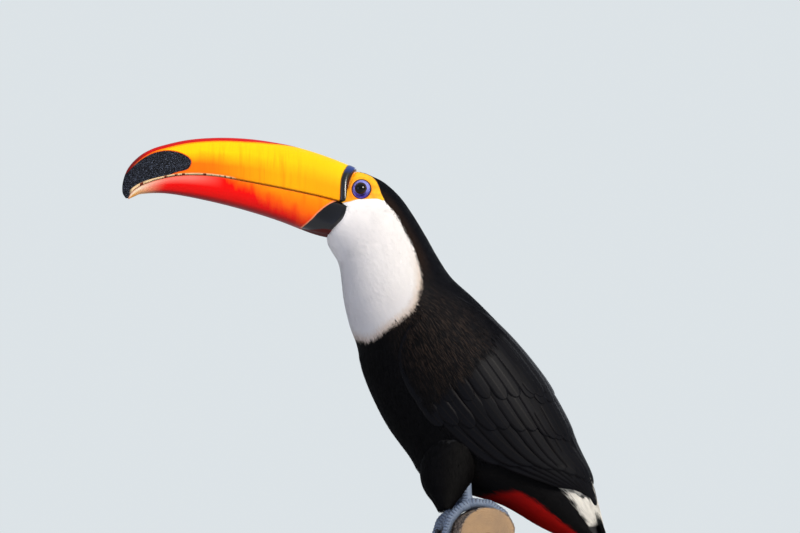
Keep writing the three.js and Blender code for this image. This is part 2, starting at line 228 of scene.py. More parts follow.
def places_of(mesh):
    """The mesh's vertices as rows of x, y, z in millimetres."""
    flat = np.empty(len(mesh.vertices) * 3)
    mesh.vertices.foreach_get("co", flat)
    return flat.reshape(-1, 3) / MM


def keep_value(mesh, name, values):
    """Store one number for each vertex, for a material to read."""
    attribute = mesh.attributes.new(name, "FLOAT", "POINT")
    attribute.data.foreach_set("value", np.ascontiguousarray(values, dtype=np.float32))


def place_piece(name, mesh, material, stands_for=()):
    """Put a finished mesh in the scene, on the model's one body."""
    piece = bpy.data.objects.new(name, mesh)
    bpy.context.scene.collection.objects.link(piece)
    mesh.materials.clear()
    mesh.materials.append(material)
    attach(piece, "root")
    if stands_for:
        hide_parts(*stands_for)
    print(name, "has", sum(len(face.vertices) - 2 for face in mesh.polygons), "triangles")
    return piece


# %% [markdown]
# ## Tools for painting
#
# A material is a net of nodes. Written node by node it is long and hard to read, so a small
# class wraps a node's output, and sums on it become Math nodes. Colours are never sent through
# Math nodes, because those keep one number only; they go through Mix nodes.


# %% The wire class and the paint class
class Wire:
    """One output of a shader node. Sums on it add Math nodes."""

    def __init__(self, paint, socket):
        self.paint = paint
        self.socket = socket

    def sum(self, operation, *terms, clamp=False):
        settings = {"operation": operation, "use_clamp": clamp}
        return self.paint.node("ShaderNodeMath", settings, dict(enumerate(terms)))

    def __add__(self, other):
        return self.sum("ADD", self, other)

    def __sub__(self, other):
        return self.sum("SUBTRACT", self, other)

    def __rsub__(self, other):
        return self.sum("SUBTRACT", other, self)

    def __mul__(self, other):
        return self.sum("MULTIPLY", self, other)

    def __truediv__(self, other):
        return self.sum("DIVIDE", self, other)

    def __rtruediv__(self, other):
        return self.sum("DIVIDE", other, self)

    def __pow__(self, other):
        return self.sum("POWER", self, other)

    __radd__ = __add__
    __rmul__ = __mul__

    def smaller(self, other):
        return self.sum("MINIMUM", self, other)

    def larger(self, other):
        return self.sum("MAXIMUM", self, other)

    def size(self):
        """The value without its sign."""
        return self.sum("ABSOLUTE", self)

    def wave(self):
        return self.sum("SINE", self)

    def above(self, edge, soft=0.1):
        """0 where the value is under the edge and 1 over it, soft on both sides."""
        return self.sum("ADD", (self - edge) / (2 * soft), 0.5, clamp=True)

    def below(self, edge, soft=0.1):
        return 1 - self.above(edge, soft)

    def output(self, name):
        """Another output of the same node."""
        return Wire(self.paint, self.socket.node.outputs[name])


class Paint:
    """The node net of one material."""

    def __init__(self, name):
        self.material = bpy.data.materials.new(name)
        self.material.use_nodes = True
        self.tree = self.material.node_tree
        self.shader = self.tree.nodes["Principled BSDF"]

    def node(self, kind, settings=None, values=None, output=0):
        made = self.tree.nodes.new(kind)
        for name, value in (settings or {}).items():
            if name == "stops":
                self.set_stops(made.color_ramp, value)
            else:
                setattr(made, name, value)
        for name, value in (values or {}).items():
            self.feed(made.inputs[name], value)
        return Wire(self, made.outputs[output])

    def feed(self, socket, value):
        if isinstance(value, Wire):
            self.tree.links.new(value.socket, socket)
        else:
            socket.default_value = value

    def set_stops(self, ramp, stops):
        while len(ramp.elements) < len(stops):
            ramp.elements.new(1)
        for element, (position, colour) in zip(ramp.elements, stops):
            element.position = position
            element.color = colour

    def stored(self, name):
        """A number that the piece keeps at each vertex."""
        return self.node("ShaderNodeAttribute", {"attribute_name": name}, output="Fac")

    def place(self):
        """The point on the piece, in millimetres."""
        spot = self.node("ShaderNodeTexCoord", output="Object")
        return self.node("ShaderNodeVectorMath", {"operation": "SCALE"}, {0: spot, "Scale": 1 / MM})

    def axes(self):
        """The x, y and z of the point on the piece, in millimetres."""
        split = self.node("ShaderNodeSeparateXYZ", {}, {0: self.place()}, output="X")
        return split, split.output("Y"), split.output("Z")

    def stretched(self, x=1.0, y=1.0, z=1.0, turn=(0, 0, 0)):
        """The point on the piece, turned and then scaled, to stretch a pattern."""
        values = {0: self.place(), "Rotation": turn, "Scale": (x, y, z)}
        return self.node("ShaderNodeMapping", {"vector_type": "POINT"}, values)

    def noise(self, where, scale, detail=2.0, roughness=0.5):
        values = {"Vector": where, "Scale": scale, "Detail": detail, "Roughness": roughness}
        return self.node("ShaderNodeTexNoise", {}, values, output="Fac")

    def cells(self, feature, scale):
        """A pattern of small cells, as on scaly or pebbled skin."""
        values = {"Vector": self.place(), "Scale": scale}
        return self.node("ShaderNodeTexVoronoi", {"feature": feature}, values)

    def mix(self, share, first, second, how="MIX"):
        """The first colour where share is 0 and the second where it is 1."""
        settings = {"data_type": "RGBA", "blend_type": how}
        return self.node("ShaderNodeMix", settings, {0: share, 6: first, 7: second}, output=2)

    def ramp(self, value, stops):
        return self.node("ShaderNodeValToRGB", {"stops": stops}, {0: value})

    def bump(self, height, distance, strength=1.0):
        """Small relief: height runs from 0 to 1, distance is its depth in millimetres."""
        values = {"Height": height, "Distance": distance * MM, "Strength": strength}
        return self.node("ShaderNodeBump", {}, values, output="Normal")

    def finish(self, **sockets):
        """Feed the shader; a name is written with _ for each space."""
        for name, value in sockets.items():
            self.feed(self.shader.inputs[name.replace("_", " ")], value)
        return self.material


def colour(red, green, band_black_with_painted_sky_reflection):
    """A colour from the 0 to 255 scale of a paint chart."""
    scaled = (part / 255 for part in (red, green, band_black_with_painted_sky_reflection))
    linear = (p / 12.92 if p <= 0.04045 else ((p + 0.055) / 1.055) ** 2.4 for p in scaled)
    return (*linear, 1.0)


print("yellow of the bill as light values:", [round(part, 3) for part in colour(250, 215, 0)])

# %% [markdown]
# ## The measures of the bird
#
# Head, neck, trunk and tail are one surface through numbered stations. Each station joins a
# point of the back line to a point of the front line and has a half width, so a point of the
# surface is named by a station and by an angle round the body that starts at the back. The
# coat, the markings and the wings all use these two numbers.

# %% Stations of the body
BACK_LINE = [
    (-97.9, 469.3), (-86.1, 466.2), (-73.1, 460.2), (-59.2, 447.4), (-47.9, 431.4),
    (-36.5, 412.3), (-26.1, 393.6), (-13.9, 375.3), (4.4, 358.4), (27.8, 334.4),
    (50.5, 308.3), (70.5, 280.5), (86.1, 251.8), (96.6, 224.8), (104.4, 203.9),
    (108.8, 189.2), (113.1, 172.6), (118.3, 155.2), (123.5, 137.0), (130.5, 111.5),
    (139.8, 80.0),
]
FRONT_LINE = [
    (-123.5, 410.1), (-120.9, 403.2), (-116.6, 396.2), (-112.7, 389.3), (-110.9, 380.6),
    (-109.6, 369.2), (-107.9, 355.3), (-102.7, 333.6), (-96.6, 317.0), (-92.2, 296.2),
    (-83.5, 273.5), (-69.6, 246.6), (-51.3, 221.3), (-37.0, 201.0), (-2.0, 189.0),
    (29.0, 179.0), (58.0, 162.0), (85.0, 145.5), (104.5, 131.0), (117.0, 108.0),
    (129.5, 77.5),
]
HALF_WIDTH = [
    20.2, 24.4, 26.5, 28, 30, 32, 35, 41, 46, 49, 50, 48.5, 44, 38, 32, 27.5, 25, 25, 27, 29.5, 24,
]
FULLER = [
    0.12, 0.14, 0.1, 0.05, 0, 0, 0, 0.02, 0.04, 0.04, 0.02, 0, 0.02, 0.08, 0.12, 0.12, 0.1, 0.05, 0, 0, 0,
]


def body_point(station, degrees, rise=0.0):
    """Points of the body, in millimetres, raised above its surface."""
    back = smooth_through(BACK_LINE, station)
    front = smooth_through(FRONT_LINE, station)
    middle = (back + front) / 2
    spine = back - front
    length = np.linalg.norm(spine, axis=-1)
    up = spine / length[..., None]
    angle = np.radians(degrees)
    reach = (length / 2 + rise) * np.cos(angle)
    width = smooth_through(HALF_WIDTH, station) + rise
    side = -width * np.sin(angle) * (1 + smooth_through(FULLER, station) * np.cos(angle))
    flat = middle + up * reach[..., None]
    return np.stack([flat[..., 0], side, flat[..., 1]], -1)


def body_place(points):
    """The station, the angle and the height above the surface of points in millimetres."""
    stations = np.linspace(0, len(BACK_LINE) - 1, 601)
    back = smooth_through(BACK_LINE, stations)
    line = smooth_through(FRONT_LINE, stations) - back
    found = np.empty(len(points))
    flat = points[:, [0, 2]]
    for start in range(0, len(points), 20000):
        part = flat[start:start + 20000]
        arm = part[:, None, :] - back[None]
        turn = line[None, :, 0] * arm[..., 1] - line[None, :, 1] * arm[..., 0]
        found[start:start + 20000] = stations[np.argmin(np.abs(turn) / np.hypot(*line.T), axis=1)]
    top = body_point(found, np.zeros(len(points)))
    centre = top / 2 + body_point(found, np.full(len(points), 180.0)) / 2
    spine = top - centre
    half = np.linalg.norm(spine, axis=1)
    high = np.einsum("ij,ij->i", points - centre, spine) / half**2
    width = smooth_through(HALF_WIDTH, found) * (1 + smooth_through(FULLER, found) * np.clip(high, -1, 1))
    wide = -points[:, 1] / width
    angle = np.degrees(np.arctan2(wide, high)) % 360
    height = (np.hypot(wide, high) - 1) * np.minimum(half, width)
    return found, angle, height


test = body_point(np.array([5.0]), np.array([90.0]))
print("side of the neck (mm):", np.round(test, 1), "read back:", [np.round(v, 2) for v in body_place(test)])

# %% [markdown]
# ## Outlines of the markings
#
# The colours of the bird meet along clear lines: the orange face, the white bib, the black
# patches of the bill. Each is drawn once as an outline in side view. A piece then stores, for
# each vertex, how far inside the outline it lies. The material turns that distance into a
# crisp edge, which stays sharp however coarse the mesh is.


# %% Distance to an outline
def inside(points, outline):
    """How far points lie inside an outline in side view, in millimetres; outside is negative."""
    knots = np.asarray(outline + outline[:1], float)
    line = smooth_through(knots, np.linspace(0, len(knots) - 1, 12 * len(knots)))
    start, end = line[:-1], line[1:]
    side = end - start
    reach = np.maximum((side**2).sum(1), 1e-9)
    result = np.empty(len(points))
    for first in range(0, len(points), 20000):
        part = points[first:first + 20000, None, :] - start[None]
        share = np.clip((part * side).sum(2) / reach, 0, 1)
        gap = np.linalg.norm(part - share[..., None] * side, axis=2).min(1)
        rising = (part[..., 1] >= 0) != (part[..., 1] - side[:, 1] >= 0)
        slope = np.where(np.abs(side[:, 1]) < 1e-9, 1e-9, side[:, 1])
        crossing = rising & (part[..., 0] < side[:, 0] * part[..., 1] / slope)
        odd = crossing.sum(1) % 2 == 1
        result[first:first + 20000] = np.where(odd, gap, -gap)
    return result


SEEN_FROM_BELOW = math.tan(math.radians(8.5))


def side_view(points):
    """Points as drawn from the side and a little below, where what stands out looks higher."""
    return np.stack([points[:, 0], points[:, 2] + SEEN_FROM_BELOW * np.abs(points[:, 1])], 1)


FACE_OUTLINE = [
    (-102.7, 475.0), (-98.3, 474.2), (-94.0, 471.4), (-88.7, 469.3), (-83.5, 464.9), (-80.0, 461.0),
    (-77.4, 455.4), (-75.7, 450.1), (-73.1, 444.0), (-79.0, 445.5), (-87.0, 445.3), (-95.7, 445.0),
    (-104.4, 442.8), (-118.1, 442.3), (-118.1, 461.5),
]
BIB_OUTLINE = [
    (-72.9, 444.0), (-64.4, 433.6), (-59.2, 424.9), (-54.8, 416.2), (-50.5, 408.4), (-47.0, 400.6),
    (-44.4, 391.9), (-41.8, 383.2), (-40.9, 374.5), (-41.8, 365.8), (-43.5, 358.8), (-47.0, 351.0),
    (-51.3, 345.8), (-58.3, 340.5), (-69.6, 332.7), (-79.2, 324.9), (-85.3, 321.8), (-91.3, 321.4),
    (-102.7, 324.0), (-120.1, 331.0), (-137.5, 365.8), (-139.2, 418.0), (-130.1, 443.2), (-95.7, 445.4),
    (-85.3, 445.8), (-78.0, 446.0),
]
print("eye inside the face by (mm):", np.round(inside(np.array([[-92.5, 453.9]]), FACE_OUTLINE), 1))

# %% [markdown]
# ## The bill
#
# The real bill is a light, hollow horn sheath, glossy like waxed wood, with a sharp edge where
# its halves meet and a raised black band at its root. It could be sculpted, but its form is a
# simple sweep: an arch from one cutting edge over the ridge to the other, drawn out along two
# rails. Each half is one rolled grid, finer towards the root and the tip.

# %% Rails of the bill
RIDGE = [
    (-97.9, 471.9), (-111.7, 478.5), (-129.2, 485.2), (-146.8, 490.7), (-164.3, 494.7),
    (-190, 498.6), (-216.9, 499.9), (-243.5, 498.2), (-265.1, 493.6), (-278.1, 489.2),
    (-288.5, 482.6), (-297, 472.9), (-301.2, 461.5), (-301.6, 451.8), (-298.6, 446.2),
]
GAPE = [
    (-106.3, 438.4), (-129, 444.6), (-163.5, 452.3), (-196, 459), (-222, 463.7), (-248, 464.8),
    (-268, 462), (-284, 457.2), (-293, 451.8), (-296.8, 446.3),
]
KEEL = [
    (-123, 410.4), (-137.5, 414.5), (-163.5, 426.2), (-198, 437.2), (-233, 445.8),
    (-263.5, 451), (-284, 450.6), (-291.3, 448.2), (-296.6, 445.6),
]
BILL_HALF_WIDTH = [20.5, 19.6, 18.2, 16.5, 14.4, 11.8, 8.4, 3.2]
TIP_SPOT = [
    (-302, 444.9), (-303, 447.6), (-304.5, 457.3), (-303, 464.4), (-298.2, 468.4), (-295.4, 471.2),
    (-293.3, 473.4), (-290.4, 476.2), (-286.0, 479.9), (-282.0, 482.5), (-278.1, 484.7), (-273.7, 486.5),
    (-269.0, 487.6), (-264.5, 488.3), (-260.0, 488.3), (-255.2, 487.6), (-250.6, 486.2), (-246.1, 484.1),
    (-242.9, 481.8), (-241.0, 479.1), (-241.3, 475.6), (-243.2, 472.6), (-247.0, 470.7), (-252.0, 469.6),
    (-256.8, 468.0), (-263.0, 465.4), (-267.5, 463.9), (-276.5, 461.2), (-282.1, 459.6), (-286.4, 457.4),
    (-290.8, 454.3), (-293.8, 451.1), (-295.9, 448.0), (-297.0, 444.4),
]
ROOT_PATCH = [
    (-113.1, 443.6), (-117.5, 442.3), (-124.4, 438.0), (-130.9, 432.4), (-134.4, 428.6), (-139.6, 423.9),
    (-146.2, 418.8), (-153.1, 412.7), (-146.2, 400.6), (-102.7, 400.6), (-94.4, 422.3), (-95.0, 446.0),
    (-109.5, 446.5),
]
LOBE_OUTLINE = [
    (-111.4, 442.8), (-106.0, 442.2), (-104.8, 437.5), (-108.2, 430.1), (-111.0, 424.4), (-115.7, 419.7),
    (-123.5, 415.2), (-135.0, 425.0), (-125.0, 440.0),
]
RED_MEETS_ORANGE = ((-205.3, 461.5), (-146.2, 421.4))
BAND_WIDTH = 6.8
BAND_RISE = 1.7
BAND_BOW = 3.6
BAND_BACK = 1.5
BAND_START = 1.0
ROOT_TUCK = 0.9
CREST_TUCK = 1.7
CREST_FLUSH = 0.7
BILL_AHEAD = (-0.97, 0.25)
LOBE_AHEAD = (-0.99, -0.1)
GAPE_ROOM = 0.08
ROOT_LOBE = 5.0
LOBE_RISE = 4.2
LOBE_ROUND = 2.8
LOBE_FADE = 8
LOBE_DOWN = [0, 0.15, 0.32, 0.45, 0.56, 0.66, 0.8, 1]
LOBE_BACK = [1.05, 1.4, 1.6, 1.65, 1.4, 0.9, 0.3, 0]
JAW_HALF = 0.72
JAW_HOLLOW = 5.0


# %% Shape one half of the bill
def length_of(rail):
    steps = np.diff(evenly_along(rail, np.linspace(0, 1, 200)), axis=0)
    return np.linalg.norm(steps, axis=1).sum()


def bow_at(high):
    """How far the black band stands ahead of the root: most in the middle of its height."""
    return BAND_BOW * np.sin(np.pi * np.clip(high, 0, 1) ** 1.35) - BAND_BACK


def length_share(u):
    """Rows of the grid lie closer at the root and at the tip."""
    return 0.5 - 0.5 * np.cos(np.pi * u)


def jaw_gap(u, v):
    """Above 0 on the soft skin between the two arms of the lower jaw, near the root."""
    from_root = length_share(u) * length_of(KEEL)
    lean = np.abs(np.cos(v / 0.8 * np.pi))
    return np.where(v < 0.8, JAW_HALF * ease(27, 3, from_root) ** 0.7 - lean, -1)


def bill_half(name, crest_rail, gape_reach, upper):
    """One half of the bill, as a rolled grid along its crest and its cutting edge."""
    length = length_of(crest_rail)

    def rule(u, v):
        share = length_share(u)
        edge = evenly_along(GAPE, share * gape_reach)
        crest = evenly_along(crest_rail, np.minimum(share, 0.999))
        out = crest - edge
        tall = np.linalg.norm(out, axis=1)
        out /= tall[:, None]
        outer = v < 0.8
        angle = np.where(outer, v / 0.8, (1 - v) / 0.2) * np.pi
        lean = np.cos(angle)
        from_root = share * length
        band = np.sqrt(np.clip(1 - (2 * (from_root - BAND_START) / BAND_WIDTH - 1) ** 2, 0, 1)) * outer
        lobe = ease(0.1, 0.45, 1 - np.sin(angle) ** 0.85) * np.exp(-from_root / LOBE_FADE) * outer
        rounded = np.sqrt(1 - (1 - np.clip(from_root / LOBE_ROUND, 0, 1)) ** 2)
        raised = BAND_RISE * band if upper else LOBE_RISE * lobe * (1.5 * rounded - 0.5)
        width = smooth_through(BILL_HALF_WIDTH, share * (len(BILL_HALF_WIDTH) - 1))
        tucked = ROOT_TUCK + CREST_TUCK * np.sin(angle) ** 4
        tucked = tucked * ease(BAND_START, 0.4 * BAND_START, from_root) * upper
        width = width * np.sqrt(np.clip(1 - share**14, 0, 1)) + raised - tucked
        across = width * np.sign(lean) * np.abs(lean) ** 0.8
        near_root = 0 * share if upper else np.exp(-((from_root / 22) ** 2))
        flush = 1 - CREST_FLUSH * np.sin(angle) ** 6
        arch = np.sin(angle) ** (0.85 - 0.3 * near_root) * (tall + raised * flush * upper - tucked)
        arch = arch - JAW_HOLLOW * near_root * np.exp(-((across / 8.5) ** 2)) * outer
        hollow = 0.12 * tall * np.sin(angle)
        rise = np.where(outer, arch, hollow) + GAPE_ROOM
        if upper:
            tooth = 0.55 * np.abs((edge[:, 0] / 7.3 + 0.35 * np.sin(edge[:, 0] / 5)) % 1 - 0.4)
            rise = rise + tooth * ease(-226, -238, edge[:, 0]) * np.abs(lean) ** 8
        flat = edge + out * rise[:, None]
        if upper:
            bow = bow_at(np.sin(angle) ** 0.85)
            bow = np.maximum(bow, 0) * ease(0, BAND_START, from_root) + np.minimum(bow, 0)
            flat = flat + np.outer(bow * np.exp(-((from_root / 20) ** 2)), BILL_AHEAD)
        else:
            back = np.interp(np.sin(angle) ** 0.55, LOBE_DOWN, LOBE_BACK) * outer
            flat = flat + np.outer(-ROOT_LOBE * back * np.exp(-from_root / LOBE_FADE), LOBE_AHEAD)
        return np.stack([flat[:, 0], across, flat[:, 1]], 1) * MM

    def band_place(u, v):
        return length_share(u) * length - BAND_START

    values = {"band_place": band_place} if upper else {"jaw_gap": jaw_gap}
    return rolled_grid(name, rule, around=96, along=240, values=values)


def bill_values(mesh, crest_rail):
    """Store how far each vertex is from the crest and from the cutting edge."""
    points = places_of(mesh)[:, [0, 2]]

    def gap_to(rail):
        line = evenly_along(rail, np.linspace(0, 1, 500))
        return np.linalg.norm(points[:, None] - line[None], axis=2).min(1)

    keep_value(mesh, "crest_gap", gap_to(crest_rail))
    keep_value(mesh, "edge_gap", gap_to(GAPE))


upper_mesh = bill_half("bill_upper_horn", RIDGE, 0.999, True)
bill_values(upper_mesh, RIDGE)
keep_value(upper_mesh, "tip_spot", inside(side_view(places_of(upper_mesh)), TIP_SPOT))
lower_mesh = bill_half("bill_lower_horn", KEEL, 0.998, False)
bill_values(lower_mesh, KEEL)
seen = side_view(places_of(lower_mesh))
keep_value(lower_mesh, "root_patch", inside(seen, ROOT_PATCH))
meet_start, meet_end = (np.array(point) for point in RED_MEETS_ORANGE)
meet_line = (meet_end - meet_start) / np.linalg.norm(meet_end - meet_start)
keep_value(lower_mesh, "past_red", (seen - meet_start) @ np.array([-meet_line[1], meet_line[0]]))
print("length of the ridge (mm):", round(length_of(RIDGE), 1))

# %% [markdown]
# ## Colours of the bill
#
# The upper half runs from clear yellow under the ridge to strong orange along the cutting
# edge, with faint upright streaks, a red line on the ridge and a large matt black oval at the
# tip. The lower half is red towards its tip and orange towards its root, where a glossy black
# patch sits. All of it is painted from distances that the mesh stores, so nothing is a picture.

# %% Paint the upper half
STRIPE_STARTS, STRIPE_WIDENS, STRIPE_WIDEST = 153, 0.07, 3.9


def upper_horn_paint():
    paint = Paint("horn upper")
    x, _, z = paint.axes()
    edge = paint.stored("edge_gap")
    crest = paint.stored("crest_gap")
    high = edge / (edge + crest)
    slow = paint.noise(paint.place(), 0.05, 2)
    streak = paint.noise(paint.stretched(0.26, 0.02, 0.02), 1.0, 3, 0.6)
    fine = paint.noise(paint.stretched(0.9, 0.2, 0.06), 1.0, 3)
    yellow = paint.mix(fine, colour(255, 214, 0), colour(249, 200, 0))
    amber = paint.mix(slow, colour(255, 176, 0), colour(252, 160, 0))
    orange = paint.mix(fine, colour(255, 128, 0), colour(250, 112, 0))
    far = x.below(-190, 32)
    low = (high + slow * 0.2 - 0.1).below(0.46, 0.16)
    body = paint.mix((x.above(-168, 40) * 0.75) * high.below(0.75, 0.4), yellow, amber)
    body = paint.mix(low * (0.35 + 0.65 * far), body, orange)
    streaks = streak.above(0.56, 0.09) * high.below(0.72, 0.2) * x.above(-230, 14) * x.below(-140, 10)
    body = paint.mix(streaks * 0.34, body, colour(240, 112, 0))
    rim = crest.below(0.9, 0.4) * x.above(-152, 10)
    body = paint.mix(rim * 0.6, body, colour(255, 240, 150))
    lip = edge.below(1.0, 0.5) * x.above(-236, 4)
    body = paint.mix(lip * 0.7, body, colour(226, 112, 10))
    warm = edge.above(1.4, 0.3) * edge.below(3.2, 1.4) * x.below(-200, 12) * x.above(-248, 4)
    body = paint.mix(warm * 0.5, body, colour(255, 112, 10))
    stripe_width = (1.0 - (x + STRIPE_STARTS) * STRIPE_WIDENS).smaller(STRIPE_WIDEST)
    stripe = (stripe_width - crest).above(0, 0.25) * x.below(-150, 3)
    glow = (stripe_width + 1.2 - crest).above(0, 0.7) * x.below(-165, 8)
    body = paint.mix(glow, body, colour(255, 140, 0))
    red = paint.mix(x.below(-284, 5), colour(216, 6, 0), colour(140, 6, 4))
    body = paint.mix(stripe, body, red)
    spot = paint.stored("tip_spot") + (fine - 0.5) * 0.5
    body = paint.mix(spot.above(-0.7, 0.4) * x.above(-290, 4), body, colour(250, 96, 8))
    speck = paint.noise(paint.place(), 1.6, 3, 0.7)
    black = paint.mix(speck.above(0.6, 0.05), colour(4, 4, 6), colour(104, 112, 130))
    body = paint.mix(spot.above(0, 0.25), body, black)
    cream = (edge - x.below(-276, 8) * 0.5).below(1.75, 0.3) * x.below(-204, 3) * x.above(-294, 1.5)
    body = paint.mix(cream, body, colour(252, 214, 160))
    notch = paint.noise(paint.stretched(0.33, 0.01, 0.01), 1.0, 1).above(0.62, 0.03)
    body = paint.mix(cream * notch, body, colour(120, 44, 16))
    root = paint.stored("band_place")
    body = paint.mix(root.below(-0.5, 0.15), body, colour(250, 150, 4))
    body = paint.mix(root.below(0.15, 0.15) * root.above(-0.6, 0.2), body, colour(58, 8, 6))
    band = root.below(BAND_WIDTH, 0.15) * root.above(0, 0.15)
    # The black band turns blue along its top: a painted reflection of the sky on the glossy band.
    band_black_with_painted_sky_reflection = paint.mix(z.above(468, 3), colour(8, 9, 13), colour(20, 52, 128))
    body = paint.mix(band, body, band_black_with_painted_sky_reflection)
    dark_line = root.above(BAND_WIDTH, 0.15) * root.below(BAND_WIDTH + 0.7, 0.3)
    body = paint.mix(dark_line * 0.75, body, colour(96, 40, 8))
    rough = 0.34 + spot.above(0, 0.25) * 0.3
    relief = fine * 0.5 + streak * 0.5
    return paint.finish(
        Base_Color=body, Roughness=rough, Normal=paint.bump(relief, 0.12, 0.35),
        Specular_IOR_Level=0.2, Coat_Weight=band * 0.9, Coat_Roughness=0.24,
    )


place_piece("bill_upper_horn", upper_mesh, upper_horn_paint(), ["bill_upper"])


# %% Paint the lower half
def lower_horn_paint():
    paint = Paint("horn lower")
    x = paint.axes()[0]
    edge = paint.stored("edge_gap")
    crest = paint.stored("crest_gap")
    high = crest / (edge + crest)
    slow = paint.noise(paint.place(), 0.06, 2)
    fine = paint.noise(paint.stretched(0.7, 0.3, 0.12), 1.0, 3)
    streak = paint.noise(paint.stretched(0.14, 0.04, 0.03, (0, 0.5, 0)), 1.0, 3, 0.6)
    red = paint.mix(fine, colour(252, 8, 0), colour(240, 4, 0))
    # A darker red along the keel is painted shade on the underside of the bill.
    body = paint.mix(high.below(0.1, 0.07), red, colour(150, 4, 4))
    # A pink band just under the cutting edge, towards the tip, is a painted highlight on the glossy red.
    pink_painted_highlight = high.above(0.66, 0.16) * x.below(-226, 14) * x.above(-284, 12)
    body = paint.mix(pink_painted_highlight * 0.85, body, colour(250, 126, 110))
    side = paint.stored("past_red") + (streak - 0.5) * 22 + (slow - 0.5) * 10
    proximal = paint.mix(high.below(0.62, 0.42), colour(255, 148, 0), colour(255, 78, 0))
    body = paint.mix(side.above(5, 7), body, proximal)
    body = paint.mix(streak.above(0.58, 0.1) * side.above(10, 10) * 0.35, body, colour(244, 60, 0))
    cream = (x - high * 9).below(-279, 14) ** 1.8
    body = paint.mix(cream, body, colour(255, 232, 196))
    body = paint.mix(cream * high.below(0.42, 0.2), body, colour(222, 150, 60))
    lip = edge.below(0.9, 0.4)
    body = paint.mix(lip * 0.6, body, colour(214, 84, 34))
    skin = paint.mix(fine, colour(92, 22, 14), colour(66, 14, 10))
    under = paint.stored("jaw_gap").above(0, 0.02)
    patch = paint.stored("root_patch") + (fine - 0.5) * 0.3
    body = paint.mix(patch.above(-1.0, 0.35), body, colour(240, 140, 96))
    patch_black = paint.mix(slow, colour(6, 6, 8), colour(12, 12, 17))
    body = paint.mix(patch.above(0, 0.2), body, patch_black)
    body = paint.mix(under, body, skin)
    rough = 0.36 + under * 0.25
    return paint.finish(
        Base_Color=body, Roughness=rough, Normal=paint.bump(fine * 0.5 + streak * 0.5, 0.12, 0.35),
        Specular_IOR_Level=0.18, Coat_Weight=patch.above(0, 0.2) * (1 - under) * 0.8, Coat_Roughness=0.2,
    )


place_piece("bill_lower_horn", lower_mesh, lower_horn_paint(), ["bill_lower"])

# %% [markdown]
# ## The skin
#
# Under its feathers a bird is one closed skin. The frame holds it as separate solids, so it
# could be joined from copies of them; but their facets would show through the thin feathers
# of the face. It is rolled afresh from the same stations instead, a coat's depth further in,
# and the thighs are melted into it by a remesh, which leaves no seam.

# %% The wing's bed on the body
WING_START, WING_END = 7.7, 15.2
WING_UPPER = [46, 26, 22, 24, 22, 20]
WING_LOWER = [80, 117, 122, 112, 84, 44]
WING_RISE, WING_EDGE = 5.5, 1.1


def wing_place(station, angle):
    """How far along the folded wing (0 to 1) and across it (-1 to 1) a point lies."""
    f = (station - WING_START) / (WING_END - WING_START)
    upper = smooth_through(WING_UPPER, np.clip(f, 0, 1) * 5)
    lower = smooth_through(WING_LOWER, np.clip(f, 0, 1) * 5)
    folded = 180 - np.abs(angle % 360 - 180)
    return f, (folded - (upper + lower) / 2) / ((lower - upper) / 2)


def wing_camber(f, v):
    """The height of the folded wing over the body, from its thin edges to its full middle."""
    arch = np.sqrt(np.clip(1 - v**2, 0, 1)) * (1 - 0.3 * np.clip(f, 0, 1))
    ends = ease(-0.04, 0.14, f) * ease(1.06, 0.8, f)
    return 0.3 + (WING_EDGE - 0.3 + WING_RISE * arch) * ends


print("camber in the middle of the wing (mm):", round(float(wing_camber(np.array(0.4), np.array(0.0))), 2))


# %% How deep the skin lies
THIGH_Y = 23.5
THIGH_CIRCLES = [(-10, 232, 22), (-16, 214, 25), (-18.5, 200, 22), (-19.5, 190, 16.5), (-20, 182.5, 10)]
THIGH_FRINGE = (-20.5, 173.5, 4.5)
EYE_X, EYE_Y, EYE_Z = -92.9, 16.0, 451.4
EYE_RADIUS = 7.2
BARE_DEPTH = 0.35
BROW_RISE = 1.2
SKIN_END = 18.2


def coat_depth(station):
    """The thickness of the coat: thin on the face, full on breast and back."""
    return 0.5 + 0.8 * ease(1.0, 3.0, station) + 1.1 * ease(3, 8, station)


def form_rise(station, degrees):
    """Where skin and coat leave the plain form: fuller at the brow, thinner under the tail."""
    brow = BROW_RISE * ease(75, 35, from_back(degrees)) * ease(1.7, 0.3, station)
    return brow - (3 + 8 * ease(50, 110, from_back(degrees))) * ease(15.8, 18.2, station)


def skin_rise(station, degrees):
    """The skin's height over the body surface, bare round the eyes."""
    points = body_point(station, degrees)
    bare = ease(-2.0, 1.0, inside(side_view(points), FACE_OUTLINE))
    feathered = -coat_depth(station)
    f, v = wing_place(station, degrees)
    under_wing = ease(1.02, 0.94, np.abs(v)) * ease(-0.02, 0.06, f) * ease(1.0, 0.94, f)
    feathered = feathered * (1 - under_wing) + (wing_camber(f, v) - 1.7) * under_wing
    return feathered * (1 - bare) - BARE_DEPTH * bare + form_rise(station, degrees)


def thigh_point(share, degrees, rise=0.0, side=1):
    """Points of the left thigh (side 1) or the right thigh (side -1)."""
    circle = smooth_through(THIGH_CIRCLES + [THIGH_FRINGE], share * (len(THIGH_CIRCLES) - 1))
    angle = np.radians(degrees)
    reach = circle[:, 2] + rise
    x = circle[:, 0] + reach * np.cos(angle)
    y = -side * (THIGH_Y + 0.92 * reach * np.sin(angle))
    return np.stack([x, y, circle[:, 1]], -1)


print("coat depth on the breast (mm):", round(float(coat_depth(9.0)), 2))


# %% Roll the body and the thighs and melt them together
def skin_rule(u, v):
    station = u * SKIN_END
    return body_point(station, v * 360, skin_rise(station, v * 360)) * MM


def thigh_rule(side):
    return lambda u, v: thigh_point(u, v * 360, -THIGH_COAT, side) * MM


